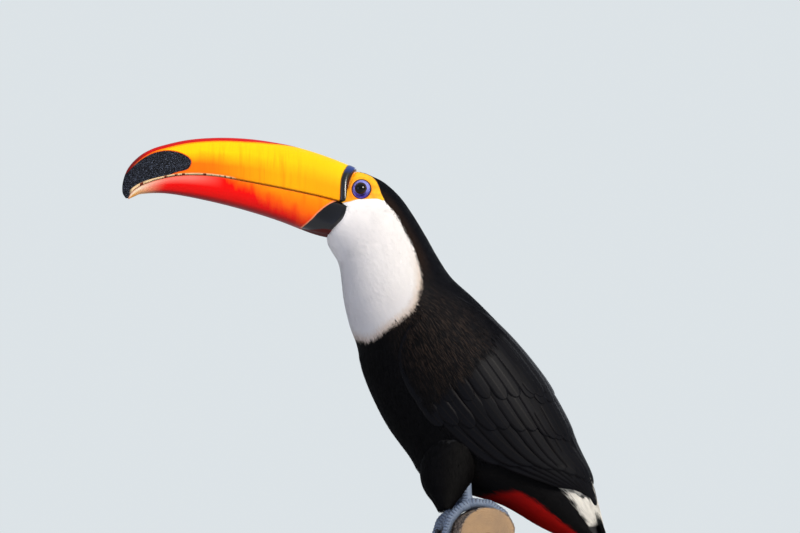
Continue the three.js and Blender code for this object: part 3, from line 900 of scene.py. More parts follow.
SKIN_VOXEL = 1.5
THIGH_COAT = 1.8
build = bmesh.new()
for source in (
    rolled_grid("skin_trunk", skin_rule, around=120, along=240),
    rolled_grid("skin_thigh_left", thigh_rule(1), around=40, along=36),
    rolled_grid("skin_thigh_right", thigh_rule(-1), around=40, along=36),
):
    build.from_mesh(source)
rough_skin = bpy.data.meshes.new("skin_rough")
build.to_mesh(rough_skin)
build.free()
melting = bpy.data.objects.new("skin_melting", rough_skin)
bpy.context.scene.collection.objects.link(melting)
remesh = melting.modifiers.new("melt", "REMESH")
remesh.mode = "VOXEL"
remesh.voxel_size = SKIN_VOXEL * MM
melted = bpy.data.meshes.new_from_object(melting.evaluated_get(bpy.context.evaluated_depsgraph_get()))
bpy.data.objects.remove(melting)
build = bmesh.new()
build.from_mesh(melted)
every_axis = {"use_axis_x": True, "use_axis_y": True, "use_axis_z": True}
for _ in range(4):
    bmesh.ops.smooth_vert(build, verts=build.verts, factor=0.5, **every_axis)
print("skin faces after melting:", len(build.faces))

# %% [markdown]
# ## Lids and the ring round the eye
#
# The toucan's eye looks out of a ring of bare violet-blue skin, wrinkled like fine crepe. A
# hole could be cut with a boolean, but that leaves ragged edges. Here the faces near the eye
# are deleted, the rim is drawn onto a true circle, and rings of skin are extruded inwards from
# it, over a soft swelling and down onto the eyeball, where the last ring turns in as the lid.

# %% Extrude the lids
LID_START = 11.6
LID_RINGS = [
    10.6, 9.8, 9.2, 8.75, 8.45, 8.15, 7.9, 7.55, 7.2,
    6.8, 6.4, 6.05, 5.7, 5.4, 5.15, 4.95, 4.9, 4.95,
]
LID_DRIFT = (0.45, -0.5)
LID_TALL = 0.12
LID_LIFT = [
    0.05, 0.15, 0.2, 0.05, -0.25, -0.45, -0.2, 0.2, 0.5,
    0.62, 0.62, 0.55, 0.45, 0.35, 0.25, 0.05, -0.5, -1.3,
]
surface = BVHTree.FromBMesh(build)


def eye_frame(side):
    """Centre, outward axis and two directions across, for the left eye (side 1) or the right."""
    centre = Vector((EYE_X, -side * EYE_Y, EYE_Z)) * MM
    axis = Vector((-0.06, -side, 0.03)).normalized()
    across = Vector((1, 0, 0))
    across = (across - axis * across.dot(axis)).normalized()
    return centre, axis, across, axis.cross(across)


def drift_share(distance):
    """The ring of skin sits a little behind and below the ball; its edges do not."""
    return ease(5.15, 6.3, distance) * ease(LID_START, 9.2, distance)


def ring_shape(distance, across):
    """The drift of one ring of the lids, and how much taller than wide it is."""
    share = float(drift_share(distance))
    return (across * LID_DRIFT[0] + Vector((0, 0, LID_DRIFT[1]))) * MM * share, 1 + LID_TALL * share


def even_out(rim, centre, across, up):
    """Turn the rim's vertices to even angles, in their order along the rim."""
    vert = rim[0].verts[0]
    walk = [vert]
    edge = rim[0]
    while True:
        vert = edge.other_vert(vert)
        if vert is walk[0]:
            break
        walk.append(vert)
        edge = next(e for e in vert.link_edges if e.is_boundary and e is not edge)
    arms = [v.co - centre for v in walk]
    angles = [math.atan2(arm.dot(up), arm.dot(across)) for arm in arms]
    turned = sum(math.remainder(angles[i] - angles[i - 1], 2 * math.pi) for i in range(len(angles)))
    step = math.copysign(2 * math.pi / len(walk), turned)
    lags = [math.remainder(a - step * i - angles[0], 2 * math.pi) for i, a in enumerate(angles)]
    lag = sum(lags) / len(lags)
    for i, v in enumerate(walk):
        angle = angles[0] + lag + step * i
        v.co = centre + (across * math.cos(angle) + up * math.sin(angle)) * LID_START * MM


def open_eye(side):
    centre, axis, across, up = eye_frame(side)

    def from_axis(place):
        arm = place - centre
        return (arm - axis * arm.dot(axis)).length, arm.dot(axis)

    cut = LID_START * MM * 0.93
    near = [face for face in build.faces if min(from_axis(v.co)[0] for v in face.verts) < cut]
    near = [face for face in near if from_axis(face.calc_center_median())[1] > -3 * MM]
    bmesh.ops.delete(build, geom=near, context="FACES")
    rim = [e for e in build.edges if e.is_boundary and from_axis(e.verts[0].co)[1] > -4 * MM]
    rim = [e for e in rim if from_axis(e.verts[0].co)[0] < 3 * LID_START * MM]

    def skin_height(flat):
        hit = surface.ray_cast(centre + flat + axis * 30 * MM, -axis)[0]
        return (hit - centre).dot(axis)

    def settle(verts, before, distance, lift):
        """Move the newest ring of vertices from its old distance to its place over the ball."""
        inner = ease(9.2, 5.3, distance)
        ring_part = ease(5.2, 5.9, distance) * ease(7.9, 7.2, distance)
        old_drift, old_tall = ring_shape(before, across)
        drift, tall = ring_shape(distance, across)
        for vert in verts:
            arm = vert.co - centre - old_drift
            angle = math.atan2(arm.dot(up) / old_tall, arm.dot(across))
            flat = (across * math.cos(angle) + up * math.sin(angle) * tall) * distance * MM + drift
            ball = math.sqrt(max((EYE_RADIUS * MM) ** 2 - flat.length_squared, 0))
            crease = 0.12 * math.sin(angle * 17) * ring_part
            height = skin_height(flat) * (1 - inner) + ball * inner + (lift + crease) * MM
            vert.co = centre + flat + axis * height

    even_out(rim, centre, across, up)
    settle({v for e in rim for v in e.verts}, LID_START, LID_START, 0)
    for before, distance, lift in zip([LID_START] + LID_RINGS, LID_RINGS, LID_LIFT):
        grown = bmesh.ops.extrude_edge_only(build, edges=rim)["geom"]
        rim = [part for part in grown if isinstance(part, bmesh.types.BMEdge)]
        rim = [edge for edge in rim if edge.is_boundary]
        settle({v for e in rim for v in e.verts}, before, distance, lift)
    bmesh.ops.edgeloop_fill(build, edges=rim)
    print("height of the skin over the eye's centre (mm):", round(skin_height(across * 0) / MM, 2))


open_eye(1)
open_eye(-1)
bmesh.ops.recalc_face_normals(build, faces=build.faces)
skin_mesh = mesh_from(build, "skin")

# %% [markdown]
# ## Markings shared by skin and coat
#
# Skin and feathers must change colour at the same place, or white skin would glint between
# black feathers. One function works out the distances to all the outlines for any points, and
# both the skin and the tufts of the coat store its results.

# %% Store the markings
CROWN_HALF = 2.5


def markings(points):
    """Distances in millimetres inside the marked areas, by name."""
    seen = side_view(points)
    station, degrees, _ = body_place(points)
    face = inside(seen, FACE_OUTLINE)
    crown = np.abs(points[:, 1]) - CROWN_HALF - 0.25 * np.clip(points[:, 0] + 90, 0, 60)
    on_top = from_back(degrees) < 70
    face = np.where(on_top, np.minimum(face, crown), face)
    eyes = []
    for side in (1, -1):
        centre, axis, across, up = (np.array(part) for part in eye_frame(side))
        arm = points - centre / MM
        off = arm - np.outer(arm @ axis, axis)
        drift = across * LID_DRIFT[0] + np.array([0, 0, LID_DRIFT[1]])
        gap = np.linalg.norm(off, axis=1)
        for _ in range(3):
            share = drift_share(gap)
            moved = off - np.outer(share, drift)
            moved = moved - np.outer((moved @ up) * (1 - 1 / (1 + LID_TALL * share)), up)
            gap = np.linalg.norm(moved, axis=1)
        eyes.append(np.where(arm @ axis > -2, gap, 99))
    ahead_of_legs = ease(12, 4, points[:, 0]) * (points[:, 2] < 230)
    station = np.where(ahead_of_legs > 0.5, np.minimum(station, 13.5), station)
    return {
        "face": face,
        "bib": inside(seen, BIB_OUTLINE),
        "eye_gap": np.minimum(*eyes),
        "station": station,
        "back_angle": from_back(degrees),
    }


def keep_markings(mesh, points, rows=None):
    for name, values in markings(points).items():
        keep_value(mesh, name, values if rows is None else values[rows])


keep_markings(skin_mesh, places_of(skin_mesh))


# %% Paint the plumage and the skin with one rule
def plumage_colour(paint, fray):
    """The colour of the plumage, with a painted sheen on the back and painted sunlight behind the bib, from
    its stored distances, frayed by a small noise.
    """
    face = paint.stored("face") + fray * 0.5
    bib = paint.stored("bib") + fray
    station = paint.stored("station")
    back = paint.stored("back_angle")
    slow = paint.noise(paint.place(), 0.04, 2)
    # The back is a bluer black than the flanks: a painted sheen.
    black = paint.mix(back.below(70, 30), colour(7, 6, 6), colour(8, 9, 16))
    # The warm brown behind the bib is painted sunlight on the black feathers there.
    painted_sunlit_brown = paint.mix(slow, colour(30, 20, 15), colour(44, 30, 22))
    beside = bib.above(-9, 3) * station.below(6.5, 0.7) * station.above(1.4, 0.3) * back.above(40, 9)
    body = paint.mix(beside, black, painted_sunlit_brown)
    rump = (station + fray * 0.1).above(13.7, 0.1) * (station + fray * 0.15).below(16.5, 0.1)
    rump = rump * (back + fray * 4).below(68, 1.5)
    body = paint.mix(rump, body, colour(236, 232, 222))
    vent = (station + fray * 0.1).above(14.4, 0.1) * (back + fray * 4).above(112, 1.5)
    body = paint.mix(vent, body, colour(176, 16, 10))
    white = paint.mix(slow, colour(246, 242, 238), colour(238, 233, 231))
    tan = bib.below(4.0, 3.5) * station.above(6.0, 0.8)
    white = paint.mix(tan * 0.55, white, colour(196, 158, 112))
    body = paint.mix(bib.above(0, 0.3), body, white)
    return paint.mix(face.above(0, 0.3), body, colour(250, 164, 8))


def skin_paint():
    paint = Paint("skin")
    x, _, z = paint.axes()
    pebble = paint.cells("F1", 1.5)
    fine = paint.noise(paint.place(), 0.9, 3)
    body = plumage_colour(paint, (fine - 0.5) * 1.2)
    face = paint.stored("face")
    eye = paint.stored("eye_gap")
    warm = paint.noise(paint.place(), 0.16, 2)
    orange = paint.mix(warm.above(0.5, 0.15), colour(255, 188, 20), colour(250, 150, 4))
    orange = paint.mix(eye.below(10.5, 2.2), orange, colour(250, 138, 2))
    orange = paint.mix(z.above(460, 7) * 0.8, orange, colour(255, 196, 6))
    body = paint.mix(face.above(0, 0.5), body, orange)
    crepe = paint.noise(paint.place(), 1.1, 3, 0.7)
    violet = paint.mix(crepe.above(0.53, 0.12), colour(78, 70, 170), colour(158, 158, 226))
    # The ring is painted paler towards the rear and the top, where the key light falls, and deeper violet
    # below: painted light and shade over its own violet-blue.
    bluer = (x * 0.8 + z * 0.6 - 198.3).above(0.5, 6)
    violet = paint.mix(bluer * 0.6, violet, colour(150, 158, 226))
    lower = z.below(447.5, 3)
    violet = paint.mix(lower * 0.75, violet, colour(64, 26, 148))
    ring = (eye + (fine - 0.5) * 0.4).below(7.8, 0.15)
    body = paint.mix(ring, body, violet)
    line = eye.above(7.6, 0.15) * eye.below(8.55, 0.2)
    body = paint.mix(line, body, colour(40, 10, 16))
    lid_edge = eye.below(5.25, 0.12)
    body = paint.mix(lid_edge, body, colour(16, 10, 18))
    folds = paint.noise(paint.stretched(0.25, 0.5, 0.9, (0, 0.6, 0)), 1.0, 3)
    relief = pebble * 0.4 + fine * 0.3 + folds * 0.6
    return paint.finish(
        Base_Color=body, Roughness=0.6 - ring * 0.2, Normal=paint.bump(relief, 0.3, 0.6),
        Specular_IOR_Level=0.3,
    )


FLESH = ["head", "neck", "trunk", "tail", "wing_left", "wing_right", "thigh_left", "thigh_right"]
place_piece("skin", skin_mesh, skin_paint(), FLESH)

# %% [markdown]
# ## The eyes
#
# A toucan's eye is very dark: a black pupil in a deep brown iris with a thin olive rim. A ball
# with a low bulge for the cornea is spun about the eye's own axis, so that the colours can
# follow the distance from that axis, and a clear coat gives it its wet light.


# %% Make the eyes
def eyeball(name, side):
    centre, axis, across, up = (np.array(part) for part in eye_frame(side))

    def rule(u, v):
        tilt = u * np.pi
        turn = v * 2 * np.pi
        reach = (EYE_RADIUS - 0.05) * np.sin(tilt)
        bulge = 0.45 * np.clip(1 - (reach / 4.7) ** 2, 0, 1) * (np.cos(tilt) > 0)
        out = (EYE_RADIUS - 0.05) * np.cos(tilt) + bulge
        ring = np.outer(reach * np.cos(turn), across) + np.outer(reach * np.sin(turn), up)
        return centre + (ring + np.outer(out, axis)) * MM

    mesh = rolled_grid(name, rule, around=48, along=48)
    arm = places_of(mesh) - centre / MM
    keep_value(mesh, "off_axis", np.linalg.norm(arm - np.outer(arm @ axis, axis), axis=1))
    return mesh


def eye_paint():
    paint = Paint("eye")
    off = paint.stored("off_axis")
    fine = paint.noise(paint.place(), 1.4, 3)
    iris = paint.mix(fine, colour(20, 12, 7), colour(36, 23, 13))
    body = paint.mix(off.above(4.4, 0.2), iris, colour(70, 54, 30))
    body = paint.mix(off.below(3.5, 0.1), body, colour(2, 2, 3))
    body = paint.mix(off.above(4.9, 0.15), body, colour(24, 16, 20))
    return paint.finish(
        Base_Color=body, Roughness=0.35, Normal=paint.bump(fine, 0.02, 0.1),
        Specular_IOR_Level=0.0, Coat_Weight=1.0, Coat_Roughness=0.03, Coat_IOR=1.38,
    )


eye_material = eye_paint()
for side, word in ((1, "left"), (-1, "right")):
    name = "eye_" + word
    place_piece(name + "_ball", eyeball(name + "_ball", side), eye_material, [name])

# %% [markdown]
# ## The coat of feathers
#
# Contour feathers lie along the body like thatch: each starts in the skin and runs backwards
# over the roots of the next. Hair curves would render well but are lost on export, so every
# tuft is four slim solid blades. One blade is shaped once, from a three-sided cone with a loop
# cut, and is then repeated many thousand times. The repeats are bent along the body by the
# same station and angle rule that made the skin, so they follow the lie of the coat exactly.

# %% One blade of a tuft
BLADE_CUT = 0.42
build = bmesh.new()
bmesh.ops.create_cone(build, cap_ends=True, segments=3, radius1=0.5, radius2=0.0, depth=1.0)
cut_place = (0, 0, BLADE_CUT - 0.5)
everything = build.verts[:] + build.edges[:] + build.faces[:]
bmesh.ops.bisect_plane(build, geom=everything, plane_co=cut_place, plane_no=(0, 0, 1))
BLADE_VERTS = np.array([vert.co for vert in build.verts])
BLADE_FACES = [[vert.index for vert in face.verts] for face in build.faces]
build.free()
blade_along = BLADE_VERTS[:, 2] + 0.5
blade_turn = np.degrees(np.arctan2(BLADE_VERTS[:, 0], BLADE_VERTS[:, 1]))
print("a blade has", len(BLADE_VERTS), "vertices; their turns:", np.round(blade_turn))


# %% Spread roots evenly over the body
rng = np.random.default_rng(20)
CELL_STATION = 0.06
CELL_DEGREES = 2.0


def spread_roots(first, last, spacing):
    """Roots as stations and angles, one in each patch of the wanted spacing."""
    stations = np.arange(first, last, CELL_STATION) + CELL_STATION / 2
    angles = np.arange(0, 360, CELL_DEGREES) + CELL_DEGREES / 2
    s, a = (part.ravel() for part in np.meshgrid(stations, angles, indexing="ij"))
    here = body_point(s, a)
    long_side = np.linalg.norm(body_point(s + CELL_STATION, a) - here, axis=1)
    round_side = np.linalg.norm(body_point(s, a + CELL_DEGREES) - here, axis=1)
    wanted = long_side * round_side / spacing**2
    total = np.cumsum(wanted)
    picks = np.searchsorted(total, np.arange(int(total[-1])) + rng.random(int(total[-1])))
    picks = np.minimum(picks, len(s) - 1)
    s = s[picks] + (rng.random(len(picks)) - 0.5) * CELL_STATION
    a = a[picks] + (rng.random(len(picks)) - 0.5) * CELL_DEGREES
    return s, a % 360


# %% Grow the tufts
BLADES_PER_TUFT = 4
BLADE_THICKNESS = 0.12
COAT_END = 19.3
PATCH = 0.003


def body_rule(station, angle, rise):
    """Points over the body, lifted where the folded wing lies."""
    f, v = wing_place(station, angle)
    on_wing = ease(1.25, 0.88, np.abs(v)) * ease(-0.12, 0.03, f) * ease(1.05, 1.0, f)
    rise = rise + (wing_camber(f, v) + 0.9) * on_wing + form_rise(station, angle)
    return body_point(station, angle, rise)


def grow(name, roots, looks, reach, soft, rule=body_rule):
    """A mesh of tufts. Looks are length, width, spread, depth and lift for each root."""
    s0, a0 = roots
    count = len(s0) * BLADES_PER_TUFT
    tuft = np.repeat(np.arange(len(s0)), BLADES_PER_TUFT)
    length, width, spread, depth, lift = (np.asarray(look, float)[tuft] for look in looks)
    place = np.tile((np.arange(BLADES_PER_TUFT) + 0.5) / BLADES_PER_TUFT - 0.5, len(s0))
    start = spread * (place + (rng.random(count) - 0.5) * 0.3)
    sway = spread * (place * 1.1 + (rng.random(count) - 0.5) * 1.1)
    length = length * (0.75 + 0.4 * rng.random(count))
    lift = lift * (0.35 + 0.9 * rng.random(count))
    twist = (rng.random(count) - 0.5) * 0.9 * (1 - soft)
    step = 0.05
    here = rule(s0[tuft], a0[tuft], np.zeros(count))
    per_station = np.linalg.norm(rule(s0[tuft] + step, a0[tuft], np.zeros(count)) - here, axis=1) / step
    per_degree = np.linalg.norm(rule(s0[tuft], a0[tuft] + 1, np.zeros(count)) - here, axis=1)
    per_degree = np.maximum(per_degree, 0.12)
    t = blade_along[None, :]
    slim = np.where(t < 0.01, 0.55, np.where(t > 0.99, 0.0, 1.0))
    turn = np.radians(blade_turn)[None, :] + twist[:, None]
    side = np.sin(turn) * slim * width[:, None] * 0.5
    high = np.cos(turn) * slim * width[:, None] * BLADE_THICKNESS * (1.3 - soft)
    middle = start[:, None] + sway[:, None] * t**1.3
    station = s0[tuft][:, None] + length[:, None] * t / per_station[:, None]
    station = np.minimum(station, reach - 0.15 * rng.random(count)[:, None])
    angle = a0[tuft][:, None] + (middle + side) / per_degree[:, None]
    rise = -depth[:, None] + (depth + lift)[:, None] * np.sin(t * np.pi / 2) ** 0.8 + high
    points = rule(station.ravel(), angle.ravel(), rise.ravel())
    over = rule(station.ravel(), angle.ravel(), rise.ravel() + 1.0) - points
    over /= np.linalg.norm(over, axis=1)[:, None]
    ahead = rule(station.ravel(), angle.ravel() + 1, rise.ravel()) - points
    ahead /= np.maximum(np.linalg.norm(ahead, axis=1), 1e-6)[:, None]
    normals = over + ahead * (np.sin(turn) * (1 - soft)).ravel()[:, None]
    normals /= np.linalg.norm(normals, axis=1)[:, None]
    per_blade = len(BLADE_VERTS)
    forth = rule(s0[tuft] + step, a0[tuft], np.zeros(count)) - here
    aside = rule(s0[tuft], a0[tuft] + 1, np.zeros(count)) - here
    high = rule(s0[tuft], a0[tuft], np.ones(count)) - here
    mirrored = np.einsum("ij,ij->i", np.cross(aside, high), forth).mean() < 0
    corners = np.concatenate([np.array(face[::-1] if mirrored else face) for face in BLADE_FACES])
    sizes = np.array([len(face) for face in BLADE_FACES])
    loops = (np.arange(count)[:, None] * per_blade + corners[None]).ravel()
    starts = np.concatenate([[0], np.cumsum(np.tile(sizes, count))[:-1]])
    mesh = bpy.data.meshes.new(name)
    mesh.vertices.add(count * per_blade)
    mesh.vertices.foreach_set("co", (points * MM).ravel())
    mesh.loops.add(len(loops))
    mesh.loops.foreach_set("vertex_index", loops.astype(np.int32))
    mesh.polygons.add(count * len(sizes))
    mesh.polygons.foreach_set("loop_start", starts.astype(np.int32))
    mesh.update(calc_edges=True)
    mesh.shade_smooth()
    across = (middle + side) / np.maximum(spread, 0.1)[:, None]
    u = s0[tuft][:, None] / 21 + PATCH * (t - 0.5)
    v = a0[tuft][:, None] / 360 + PATCH * across * 0.5
    patch = np.stack([u.ravel(), v.ravel()], 1)
    layer = mesh.uv_layers.new(name="OFBake")
    layer.data.foreach_set("uv", patch[loops].ravel())
    mesh.normals_split_custom_set_from_vertices(normals)
    toward_tip = 0.75 * np.asarray(looks[0]) / per_station[::BLADES_PER_TUFT]
    tip_points = rule(s0 + toward_tip, a0, np.zeros(len(s0)))
    rows = np.repeat(tuft, per_blade)
    keep_markings(mesh, tip_points, rows)
    keep_value(mesh, "shade", np.repeat(rng.random(count), per_blade))
    keep_value(mesh, "blade_along", np.tile(blade_along, count))
    return mesh


# %% Plant the coat of the body
def bib_looks(s, a):
    """Fine silky feathers of the bib."""
    near_bill = ease(0.0, 2.0, s)
    return 4.5 + 4.5 * near_bill, 0.98 + 0 * s, 1.2 + 0 * s, coat_depth(s), 0.1 + 0 * s


def body_looks(s, a):
    """Hair-like black feathers, short on the crown and long on the belly."""
    grown = ease(0.5, 7, s)
    length = 4.0 + 9.5 * grown
    along_back = ease(60, 20, from_back(a))
    lift = (0.18 + 0.22 * grown) * (1 - 0.7 * along_back)
    return length, 0.5 + 0.45 * grown, 1.3 + 0.9 * grown, coat_depth(s), lift


def region_of(points):
    marks = markings(points)
    bare = marks["face"] > -0.6
    near_eye = marks["eye_gap"] < 8.9
    under_jaw = inside(side_view(points), LOBE_OUTLINE) > -0.2
    return marks, bare | near_eye | under_jaw


TUFTS_PER_PIECE = 4900
BIB_SOFT, BODY_SOFT = 0.85, 0.45


def plant(name, first, last, spacing, looks_at, wanted, soft):
    """Spread roots, keep the wanted ones and grow them, in pieces that stay small enough."""
    s, a = spread_roots(first, last, spacing)
    points = body_point(s, a)
    marks, bare = region_of(points)
    keep = wanted(s, a, marks) & ~bare
    s, a = s[keep], a[keep]
    parts = max(1, math.ceil(len(s) / TUFTS_PER_PIECE))
    order = np.argsort(s, kind="stable")
    for number, rows in enumerate(np.array_split(order, parts)):
        roots = (s[rows], a[rows])
        mesh = grow(f"{name}_{number + 1}", roots, looks_at(*roots), COAT_END, soft)
        place_piece(mesh.name, mesh, plumage_material)
    print(name, "tufts:", len(s))


def plumage_paint():
    paint = Paint("plumage")
    shade = paint.stored("shade")
    body = plumage_colour(paint, (shade - 0.5) * 1.8)
    along = paint.stored("blade_along")
    # Blades are darkened at random, and towards their roots as painted shade where the coat covers itself.
    random_tone_and_painted_root_shade = paint.mix(shade * 0.35 + along.below(0.3, 0.3) * 0.3, (1, 1, 1, 1), (0.55, 0.55, 0.58, 1))
    white = paint.stored("bib").above(0, 0.3)
    light = paint.mix(shade * 0.08, (1, 1, 1, 1), (0.84, 0.84, 0.88, 1))
    body = paint.mix(1.0, body, paint.mix(white, random_tone_and_painted_root_shade, light), "MULTIPLY")
    station = paint.stored("station")
    back = paint.stored("back_angle")
    # Some blades on the flank and shoulder get a warm brown: painted sunlight, as on black feathers lit by
    # the sun.
    warm = station.above(7.2, 0.6) * station.below(10.6, 0.9) * back.above(55, 12) * back.below(112, 14)
    body = paint.mix(warm * shade.above(0.76, 0.08) * (1 - white) * 0.5, body, colour(66, 52, 43))
    return paint.finish(Base_Color=body, Roughness=0.56 + white * 0.14, Specular_IOR_Level=0.08)


plumage_material = plumage_paint()


def off_wing(s, a):
    """Long plumes of the breast's side hide the bend of the wing; past them it is bare."""
    f, v = wing_place(s, a)
    ragged = 0.05 * (rng.random(len(s)) - 0.5)
    return (f < 0.27 + 0.13 * v + ragged) | (f > 0.98) | (np.abs(v) > 0.92)


def off_tail(s, a):
    """The tail's own feathers are bare; below them the coverts reach further down."""
    return s < np.where(from_back(a) > 75, 17.8, 15.9)


def in_bib(s, a, marks):
    return marks["bib"] > -3.0


def on_head(s, a, marks):
    return ~in_bib(s, a, marks)


def on_body(s, a, marks):
    return on_head(s, a, marks) & off_wing(s, a) & off_tail(s, a)


plant("coat_bib", 0.15, 8.6, 1.2, bib_looks, in_bib, BIB_SOFT)
plant("coat_head", 0.1, 5.0, 1.35, body_looks, on_head, BODY_SOFT)
plant("coat_body", 5.0, 17.9, 2.05, body_looks, on_body, BODY_SOFT)

# %% [markdown]
# ## The feathered thighs
#
# A perched toucan's thighs hang as two soft black bags in front of the legs. Their tufts are
# grown by the same function as the rest of the coat; only the rule that bends them changes,
# from the stations of the body to the circles of the thigh.

# %% Plant the coat of the thighs
def thigh_rise_rule(side):
    return lambda share, angle, rise: thigh_point(share, angle, rise, side)


THIGH_TUFTS = 3400
THIGH_REACH = 1.3
for side, word in ((1, "left"), (-1, "right")):
    share = rng.random(THIGH_TUFTS) * 0.97
    angle = rng.random(THIGH_TUFTS) * 360
    _, _, height = body_place(thigh_point(share, angle, 0.0, side))
    keep = height > -2.5
    roots = (share[keep], angle[keep])
    ones = np.ones(keep.sum())
    looks = (13 * ones, 0.85 * ones, 2.2 * ones, THIGH_COAT * ones, 0.6 * ones)
    mesh = grow("coat_thigh_" + word, roots, looks, THIGH_REACH, BODY_SOFT, thigh_rise_rule(side))
    place_piece(mesh.name, mesh, plumage_material)

# %% [markdown]
# ## Wing feathers
#
# The folded wing is a stack of flat feathers: small rounded coverts over the shoulder, longer
# ones below them, then the flight feathers with their tips crossed over the rump. One vane is
# a grid narrowed to a rounded tip. It is laid along a line of the wing, sunk at its root and
# raised at its tip, and tilted a little so that it overlaps its neighbour like a roof tile.


# %% Lay one vane along a line
VANE_STEPS = 14
VANE_ACROSS = 6
VANE_BEND = 45.0


def lay_vane(build, place_at, width, root_depth, tip_lift, tilt, point):
    """Add a feather whose shaft runs through place_at(t, height), from the root at 0 to the tip at 1."""

    def line_at(t):
        return place_at(t, 0.0)

    grid = bmesh.ops.create_grid(build, x_segments=VANE_STEPS, y_segments=VANE_ACROSS, size=1)
    flat = np.array([vert.co for vert in grid["verts"]])
    t = 1 - (0.5 - flat[:, 0] * 0.5) ** 1.7
    middle = line_at(t)
    ahead = line_at(np.minimum(t + 0.02, 1.02)) - line_at(np.maximum(t - 0.02, -0.02))
    ahead /= np.linalg.norm(ahead, axis=1)[:, None]
    over = place_at(t, 1.0) - middle
    aside = np.cross(over, ahead)
    aside /= np.linalg.norm(aside, axis=1)[:, None]
    long_side = np.linalg.norm(line_at(np.array([1.0])) - line_at(np.array([0.0])))
    round_from = max(1 - point * width / long_side, 0.3)
    taper = np.sqrt(np.clip(t / 0.25, 0.02, 1))
    tip = np.sqrt(np.clip(1 - (np.clip(t - round_from, 0, 1) / (1 - round_from)) ** 2.4, 0, 1))
    y = flat[:, 1] * width / 2 * taper * tip
    shaft = 0.3 * np.exp(-((y / 0.7) ** 2)) * (1 - t)
    rise = -root_depth * (1 - t) ** 1.3 + tip_lift * t + tilt * y - y**2 / (2 * VANE_BEND) + shaft
    placed = middle + aside * y[:, None] + over * rise[:, None]
    along = build.verts.layers.float["vane_along"]
    across = build.verts.layers.float["vane_across"]
    for vert, place, share, side in zip(grid["verts"], (placed * MM).tolist(), t.tolist(), y.tolist()):
        vert.co = place
        vert[along] = share * long_side
        vert[across] = side


def vane_build():
    build = bmesh.new()
    build.verts.layers.float.new("vane_along")
    build.verts.layers.float.new("vane_across")
    return build


def finish_vanes(build, name, thickness, material):
    """Merge the closed tips, give the vanes a thickness and place them."""
    bmesh.ops.remove_doubles(build, verts=build.verts, dist=0.004 * MM)
    piece = place_piece(name, mesh_from(build, name), material)
    solid = piece.modifiers.new("thickness", "SOLIDIFY")
    solid.thickness = thickness * MM
    solid.offset = -1


def vane_paint():
    paint = Paint("flight feathers")
    along = paint.stored("vane_along")
    across = paint.stored("vane_across")
    side = across.size()
    barb = ((along - side * 0.9) * 9.0).wave()
    slow = paint.noise(paint.place(), 0.08, 2)
    split = paint.noise(paint.stretched(0.5, 0.5, 0.5), 1.0, 2).above(0.68, 0.04)
    body = paint.mix(slow, colour(5, 5, 7), colour(9, 10, 16))
    body = paint.mix(side.above(5.0, 1.6) * 0.4, body, colour(17, 14, 13))
    shaft = side.below(0.45, 0.12)
    body = paint.mix(shaft * 0.7, body, colour(20, 18, 18))
    relief = barb * 0.25 + split * 0.4 + 0.5
    return paint.finish(
        Base_Color=body, Roughness=0.5 - shaft * 0.1, Normal=paint.bump(relief, 0.1, 0.3),
        Specular_IOR_Level=0.08,
    )


vane_material = vane_paint()


# %% Feather the wings
def wing_point(f, v, rise):
    station = WING_START + f * (WING_END - WING_START)
    knot = np.clip(f, 0, 1) * 5
    upper, lower = smooth_through(WING_UPPER, knot), smooth_through(WING_LOWER, knot)
    camber = wing_camber(f, v)
    return body_point(station, (upper + lower) / 2 + v * (lower - upper) / 2, camber + rise)


# Each row: count, first and last place across the wing, root and tip along it, width, layer,
# how much further back the uppermost tips reach than the lowest, and how pointed the tips are.
WING_ROWS = [
    (7, -0.35, 0.72, 0.45, 0.99, 12.5, 0.0, 0.07, 2.3),
    (9, -0.80, 0.80, 0.28, 0.80, 14.5, 0.3, 0.10, 1.3),
    (4, -0.95, -0.40, 0.30, 0.88, 15.0, 0.7, 0.04, 1.6),
    (10, -0.72, 0.92, 0.14, 0.58, 13.5, 0.7, 0.08, 0.9),
    (10, -0.80, 0.94, 0.06, 0.45, 12.5, 0.9, 0.06, 0.8),
    (5, -1.08, -0.45, 0.24, 0.64, 14.0, 1.1, 0.00, 1.0),
    (5, -1.08, -0.50, 0.10, 0.47, 13.5, 1.3, 0.00, 1.0),
]


def feather_wing(side, name):
    build = vane_build()
    flip = np.array([1, side, 1])
    for count, v_first, v_last, root, tip, width, layer, lag, point in WING_ROWS:
        for i in range(count):
            share = i / (count - 1)
            v = v_first + (v_last - v_first) * share + (rng.random() - 0.5) * 0.05
            start = root + (rng.random() - 0.5) * 0.02
            end = tip - lag * (share - 0.5) * 2 + (rng.random() - 0.5) * 0.02

            def place_at(t, height, v=v, start=start, end=end):
                return wing_point(start + (end - start) * t, np.full_like(t, v), height) * flip

            lay_vane(build, place_at, width, 1.4 + layer * 0.4, 0.1 + layer * 0.6, 0.085 * side, point)
    if side < 0:
        bmesh.ops.reverse_faces(build, faces=build.faces)
    finish_vanes(build, name, 0.22, vane_material)


feather_wing(1, "wing_feathers_left")
feather_wing(-1, "wing_feathers_right")

# %% [markdown]
# ## Tail feathers
#
# The tail is ten long, blunt-ended feathers. The middle pair lies on top and each further pair
# is tucked a little lower and further out, so the closed tail is a shallow arch of layers.


# %% Feather the tail
def tail_point(station, across, depth):
    back = smooth_through(BACK_LINE, station)
    front = smooth_through(FRONT_LINE, station)
    up = back - front
    half = np.linalg.norm(up, axis=-1) / 2
    up = up / (2 * half)[..., None]
    width = smooth_through(HALF_WIDTH, station)
    drop = half * (1 - np.sqrt(np.clip(1 - (across / width) ** 2, 0.02, 1))) + depth
    flat = back - up * drop[..., None]
    return np.stack([flat[..., 0], across, flat[..., 1]], -1)


TAIL_PAIRS = 5
TAIL_ROOT, TAIL_TIP = 15.4, 19.97
TAIL_WIDTH = 18.5


